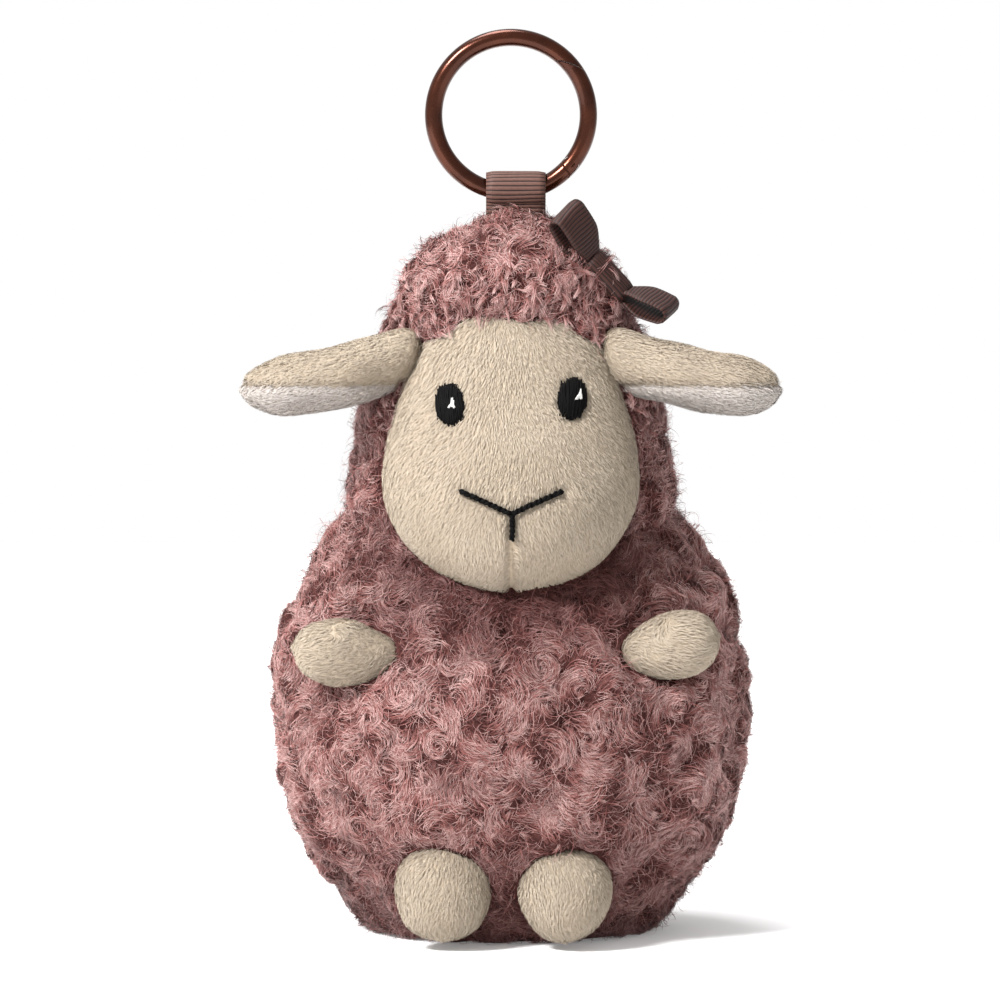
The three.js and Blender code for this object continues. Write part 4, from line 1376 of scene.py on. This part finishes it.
def ribbon(name, path, across, half_widths, thickness, rib, rib_height, tones, outside=1):
    """A ribbed band along a path, which closes at its edges. across is the way of its width."""
    count = len(path)
    steps = 10
    normals = outside * np.cross(unit(np.gradient(path, axis=0)), across)
    along = np.concatenate([[0], np.cumsum(np.linalg.norm(np.diff(path, axis=0), axis=1))])
    length = along[-1]
    ribs = round(length / rib)
    share = np.linspace(-1, 1, steps)
    drift = 0.25 * rib * np.sin(2.3 * share + 0.55 * along[:, None]) * np.sin(0.23 * along[:, None])
    place = (along[:, None] + drift) / length
    swell = np.abs(np.sin(math.pi * ribs * place)) ** 0.7 * rib_height
    at_edge = np.where(np.abs(share) > 0.99, 0.55, 1)
    rows = []
    for face in (1, -1):
        off = face * (thickness / 2 + swell * (1 - share**8)) * at_edge
        at = path[:, None] + across * (share * (half_widths[:, None] + 0.35 * swell))[..., None]
        at = at + normals[:, None] * off[..., None]
        rows.append(at if face > 0 else at[:, ::-1])
    points = np.concatenate([np.concatenate(rows, axis=1).reshape(-1, 3), path[[0, -1]]])
    walls, caps = closed_faces(count, 2 * steps)
    u = np.concatenate([np.linspace(0.02, 0.48, steps), np.linspace(0.52, 0.98, steps)])
    v = np.concatenate([place, place[:, ::-1]], axis=1)
    wall_uv = np.stack([np.tile(u, count), v.ravel()], axis=1)[walls]
    uv = np.concatenate([wall_uv.reshape(-1, 2), np.full((caps.size, 2), 0.5)])
    return mesh_piece(name, points, [walls, caps], ribbon_look(*tones, ribs), uv), length


def make_hanging_loop():
    low, high = node_box("hanging_loop")
    radius = (high[1] - low[1]) / 2 - loop_thickness / 2
    middle = np.array([loop_aside, 0, high[2] - radius - loop_thickness / 2])
    turn = np.linspace(-loop_leave, math.pi + loop_leave, 90)
    arc = np.stack([0 * turn, radius * np.cos(turn), radius * np.sin(turn)], axis=1) + middle
    rise = np.linspace(0, 1, 30)[:-1, None]
    start = np.array([loop_aside, loop_foot_half_gap, low[2] - loop_foot_depth])
    back = start * [1, -1, 1] - arc[-1]
    path = np.concatenate([start + (arc[0] - start) * rise, arc, arc[-1] + back * (rise + rise[1])])
    path = evenly(path, 420)
    piece, length = ribbon(
        "hanging_loop_ribbon", path, np.array([1.0, 0, 0]), np.full(len(path), loop_width / 2 - loop_edge),
        loop_thickness, loop_rib, loop_rib_height, loop_tones,
    )
    dress(piece, "loop", "grosgrain_ribbon", "hanging_loop")


def make_bow_loop(name, side, nodes):
    """A loop of the bow, which leaves the wrap, widens, turns back and comes in again."""
    axes, seat = bow_place()
    half = bow_loop_height / 2 - bow_loop_inset
    reach = bow_loop_length[name] - half
    t = np.linspace(0, 1, 60)[:, None]
    neck = np.array([0, 0, bow_neck_thickness / 2 - bow_neck_inset])
    leg = neck + (np.array([reach, 0, half]) - neck) * t
    leg = leg + np.array([0, 0, bow_loop_swell]) * np.sin(math.pi * t)
    turn = np.linspace(math.pi / 2, -math.pi / 2, 40)[1:-1]
    cap = np.stack([reach + half * np.cos(turn), 0 * turn, half * np.sin(turn)], axis=1)
    path = evenly(np.concatenate([leg, cap, (leg * [1, 1, -1])[::-1]]), 260)
    widening = (bow_ribbon_width - bow_neck_width) / 2 * smooth(path[:, 0], 0, 0.6 * reach)
    twist = Matrix.Rotation(side * bow_loop_twist[name], 3, "X")
    lift = np.array(Matrix.Rotation(-bow_loop_lift[name], 3, "Y") @ twist).T
    shift = np.array([bow_wrap_reach[name] - bow_loop_tuck, 0, 0])
    to_head = np.diag([side, side, 1.0]) @ axes.T
    piece, _ = ribbon(
        f"bow_{name}_loop", (path @ lift + shift) @ to_head + seat, np.array([0, 1.0, 0]) @ lift @ to_head,
        bow_neck_width / 2 + widening, bow_thickness, bow_rib, bow_rib_height, bow_tones,
    )
    dress(piece, "root", "grosgrain_ribbon", *nodes)


def make_bow_wrap():
    axes, seat = bow_place()
    half_sizes = np.array([bow_neck_width, bow_neck_thickness]) / 2 + bow_wrap_room
    turn = np.linspace(0.5 * math.pi, 2.5 * math.pi, 160)
    circle = np.stack([np.cos(turn), np.sin(turn)], axis=1)
    curve = np.sign(circle) * np.abs(circle) ** 0.6 * half_sizes
    middle = (bow_wrap_reach["lower"] - bow_wrap_reach["upper"]) / 2
    half_length = (bow_wrap_reach["lower"] + bow_wrap_reach["upper"]) / 2
    path = evenly(np.column_stack([0 * turn + middle, curve]), 200)
    piece, _ = ribbon(
        "bow_wrap_band", path @ axes.T + seat, axes[:, 0], np.full(len(path), half_length),
        bow_thickness, bow_rib, bow_rib_height, bow_tones, outside=-1,
    )
    dress(piece, "root", "grosgrain_ribbon", "bow_wrap")


make_hanging_loop()
make_bow_loop("upper", -1, ["bow_ribbon"])
make_bow_loop("lower", 1, [])
make_bow_wrap()


# Ring

ring_low, ring_high = node_box("ring_body")
wire_radius = (ring_high[1] - ring_low[1]) / 2
wire_around = 40
wire_step_degrees = 1.2
ring_radius = -ring_low[0] - wire_radius
ring_middle = np.array([0, 0, ring_high[2] - ring_radius - wire_radius])
pivot_angle = -39 * DEG
gate_pivot = ring_middle + ring_radius * np.array([math.cos(pivot_angle), 0, math.sin(pivot_angle)])
slot_width = 1.9
slot_radius = 1.32
tongue_thickness = 0.85
tongue_radius = 1.25
tongue_aside = -0.45
pin_bore_radius = 0.55
pin_bore_length = 2.8
seam_gap = 0.035
groove_width = 0.32
groove_floor = 0.75
groove_length = 1.2
sharp_edge = 35 * DEG

# The ends of the two wires before they are cut, as angles round the ring in degrees
body_ends = (20, 323)
gate_ends = (-52, 56)
# The seam at the latch: off the wire's middle line in wire radii, and angle round the ring
latch_seam = [(-2.2, 52.5), (-1, 51), (-0.35, 46.8), (0.3, 39.5), (1, 31.5), (2.2, 20)]
# The seam at the pivot, and the tongue's link and its room in the gate: along the wire towards the gate
# and inward, from the pivot in wire radii
pivot_seam = [
    (0, 2), (0, 0.9), (-0.35, 0.83), (-0.64, 0.64), (-0.83, 0.35), (-0.9, 0), (-0.93, -0.35), (-1.1, -0.7),
    (-1.35, -1), (-1.9, -1.8),
]
tongue_link = [(-1.5, -0.8), (0, -0.86), (0, 0.86), (-1.5, 0.9)]
tongue_room = [(-1.7, -0.86), (0, -0.88), (0, 0.8), (0.2, 1.3), (-1.7, 1.3)]
# How far the cuts go: past the wire in wire radii and round the ring, and beyond the pivot
body_latch_far = [(3, 10), (-3, 10)]
gate_latch_far = [(3, 62), (-3, 62)]
body_pivot_far = [(3, -3), (3, 3)]
gate_pivot_far = [(-5, -3), (-5, 3)]


def boolean(piece, cutter, operation="DIFFERENCE"):
    change = piece.modifiers.new("cut", "BOOLEAN")
    change.operation = operation
    change.solver = "EXACT"
    change.object = cutter
    bpy.context.view_layer.objects.active = piece
    with bpy.context.temp_override(object=piece, active_object=piece, selected_objects=[piece]):
        bpy.ops.object.modifier_apply(modifier=change.name)
    bpy.data.objects.remove(cutter)


def by_latch(places):
    """Places on the ring: off the wire's middle line in wire radii, and the angle in degrees."""
    found = []
    for out, degrees in places:
        angle = degrees * DEG
        way = np.array([math.cos(angle), 0, math.sin(angle)])
        found.append(ring_middle + (ring_radius + out * wire_radius) * way)
    return found


def by_pivot(places):
    """Places beside the pivot: along the wire towards the gate, and inward, in wire radii."""
    out = unit(gate_pivot - ring_middle)
    ahead = np.array([-out[2], 0, out[0]])
    return [gate_pivot + wire_radius * (along * ahead - inward * out) for along, inward in places]


def wire_arc(name, start, end):
    count = int(abs(end - start) / wire_step_degrees)
    angles = np.linspace(start, end, count) * DEG
    path = ring_middle + ring_radius * np.stack([np.cos(angles), 0 * angles, np.sin(angles)], axis=1)
    points, faces = tubes(path[None], np.full((1, count), wire_radius), wire_around)
    return mesh_piece(name, points, faces, brown_metal)


def rod(radius, length, aside=0.0):
    """A round rod along Y at the pivot."""
    path = np.array([[gate_pivot + [0, aside - length / 2, 0], gate_pivot + [0, aside + length / 2, 0]]])
    return mesh_piece("rod", *tubes(path, np.full((1, 2), radius), 48), brown_metal)


def slab(outline, length, aside=0.0):
    """A block along Y with an outline of points in the plane of the ring."""
    outline = np.array(outline)
    after = np.roll(outline, -1, axis=0)
    if (outline[:, 0] * after[:, 2] - outline[:, 2] * after[:, 0]).sum() < 0:
        outline = outline[::-1]
    number = len(outline)
    first, second = np.arange(number), (np.arange(number) + 1) % number
    points = np.concatenate([outline + [0, aside - length / 2, 0], outline + [0, aside + length / 2, 0]])
    walls = np.stack([second, first, first + number, second + number], axis=1)
    return mesh_piece("slab", points, [first[None], (first[::-1] + number)[None], walls], brown_metal)


def beside_seam(seam, shift):
    """A seam's line moved off sideways."""
    line = np.array(seam)
    ahead = unit(np.gradient(line, axis=0))
    off = np.stack([-ahead[:, 2], 0 * ahead[:, 0], ahead[:, 0]], axis=1)
    return [*(line + shift * off)]


def cut_beyond(piece, seam, shift, far):
    """Cuts away all beyond a seam, up to far points."""
    boolean(piece, slab(beside_seam(seam, shift) + far, 4 * wire_radius))


def groove(piece, seam):
    """The dark line along a seam, cut into the front and the back of the wire."""
    outline = beside_seam(seam, groove_width / 2) + beside_seam(seam, -groove_width / 2)[::-1]
    for side in (-1, 1):
        boolean(piece, slab(outline, groove_length, side * (groove_floor + groove_length / 2)))


def make_ring():
    latch, pivot = by_latch(latch_seam), by_pivot(pivot_seam)

    body = wire_arc("ring_wire", *body_ends)
    cut_beyond(body, latch, seam_gap / 2, by_latch(body_latch_far))
    cut_beyond(body, pivot, -seam_gap / 2, by_pivot(body_pivot_far))
    boolean(body, slab(by_pivot(tongue_link), tongue_thickness, tongue_aside), "UNION")
    boolean(body, rod(tongue_radius, tongue_thickness, tongue_aside), "UNION")
    boolean(body, rod(pin_bore_radius, pin_bore_length))

    gate = wire_arc("gate_wire", *gate_ends)
    cut_beyond(gate, latch, -seam_gap / 2, by_latch(gate_latch_far))
    cut_beyond(gate, pivot, seam_gap / 2, by_pivot(gate_pivot_far))
    boolean(gate, slab(by_pivot(tongue_room), slot_width))
    boolean(gate, rod(slot_radius, slot_width))
    boolean(gate, rod(pin_bore_radius, pin_bore_length))
    for piece, rides_on, node in ((body, "ring", "ring_body"), (gate, "gate", "ring_gate")):
        groove(piece, latch)
        groove(piece, pivot)
        piece.data.set_sharp_from_angle(angle=sharp_edge)
        dress(piece, rides_on, "brown_metal", node)


make_ring()
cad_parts["gate_pivot_pin"].data.materials[0] = brown_metal
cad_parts["gate_spring"].data.materials[0] = spring_steel


# Base panel, sewn into the bottom of the body

panel_floor = 0.12
panel_dimple = 0.12
panel_top = 1.1


def make_base_panel():
    low, high = node_box("base_panel")
    half = (high - low) / 2
    middle = (high + low) / 2
    around = 120
    angles = np.linspace(0, 2 * math.pi, around, endpoint=False)
    shares = np.linspace(0, 1, 24)[1:]
    heights = panel_floor + panel_dimple * (1 - shares**6)
    rows = [*zip(shares, heights), *((share, panel_top) for share in shares[::-1])]
    rings = [
        np.stack([
            middle[0] + half[0] * share * np.cos(angles),
            middle[1] + half[1] * share * np.sin(angles),
            0 * angles + height,
        ], axis=1)
        for share, height in rows
    ]
    ends = [[middle[0], middle[1], panel_floor + panel_dimple], [middle[0], middle[1], panel_top]]
    faces = closed_faces(len(rows), around)
    panel = mesh_piece("base_panel_cloth", np.concatenate([*rings, ends]), faces, wool_backing)
    dress(panel, "root", "curly_pile", "base_panel")


make_base_panel()


# Floor and light

floor_half_size = 700
floor_colour = (0.88, 0.88, 0.88, 1)
floor_glow = 0.16
light_aim = Vector((0, 0, 70))
white = (1, 1, 1, 1)


def make_floor():
    look, tree, shader = new_look("floor", Base_Color=floor_colour, Roughness=0.8, Specular_IOR_Level=0.2)
    feed(tree, shader, Emission_Color=white, Emission_Strength=floor_glow)
    corners = floor_half_size * np.array([(-1.0, -1, 0), (1, -1, 0), (1, 1, 0), (-1, 1, 0)])
    mesh_piece("floor", corners, [np.array([[0, 1, 2, 3]])], look)


def make_world():
    """White round the floor, and above it light that is stronger on the left."""
    world = bpy.data.worlds.new("world")
    bpy.context.scene.world = world
    world.use_nodes = True
    tree = world.node_tree
    way = add(tree, "SeparateXYZ", Vector=add(tree, "TexCoord").outputs["Generated"])
    across = add(tree, "MapRange", Value=way.outputs["X"], From_Min=-1, To_Min=0.92, To_Max=0.6)
    strength = add(
        tree, "MapRange", Value=way.outputs["Z"], From_Min=0.05, From_Max=0.12, To_Min=1,
        To_Max=across.outputs["Result"],
    )
    feed(tree, tree.nodes["Background"], Color=white, Strength=strength.outputs["Result"])


def make_lamp(name, place, size, watts):
    light = bpy.data.lights.new(name, "AREA")
    light.shape = "RECTANGLE"
    light.size, light.size_y = size * MM, size * MM
    light.energy = watts
    lamp = bpy.data.objects.new(name, light)
    lamp.location = Vector(place) * MM
    lamp.rotation_euler = (light_aim - Vector(place)).to_track_quat("-Z", "Y").to_euler()
    bpy.context.scene.collection.objects.link(lamp)


bpy.context.scene.view_settings.view_transform = "Standard"
make_floor()
make_world()
make_lamp("key", place=(-580, -560, 730), size=260, watts=24)
make_lamp("top", place=(-150, 150, 900), size=400, watts=8)
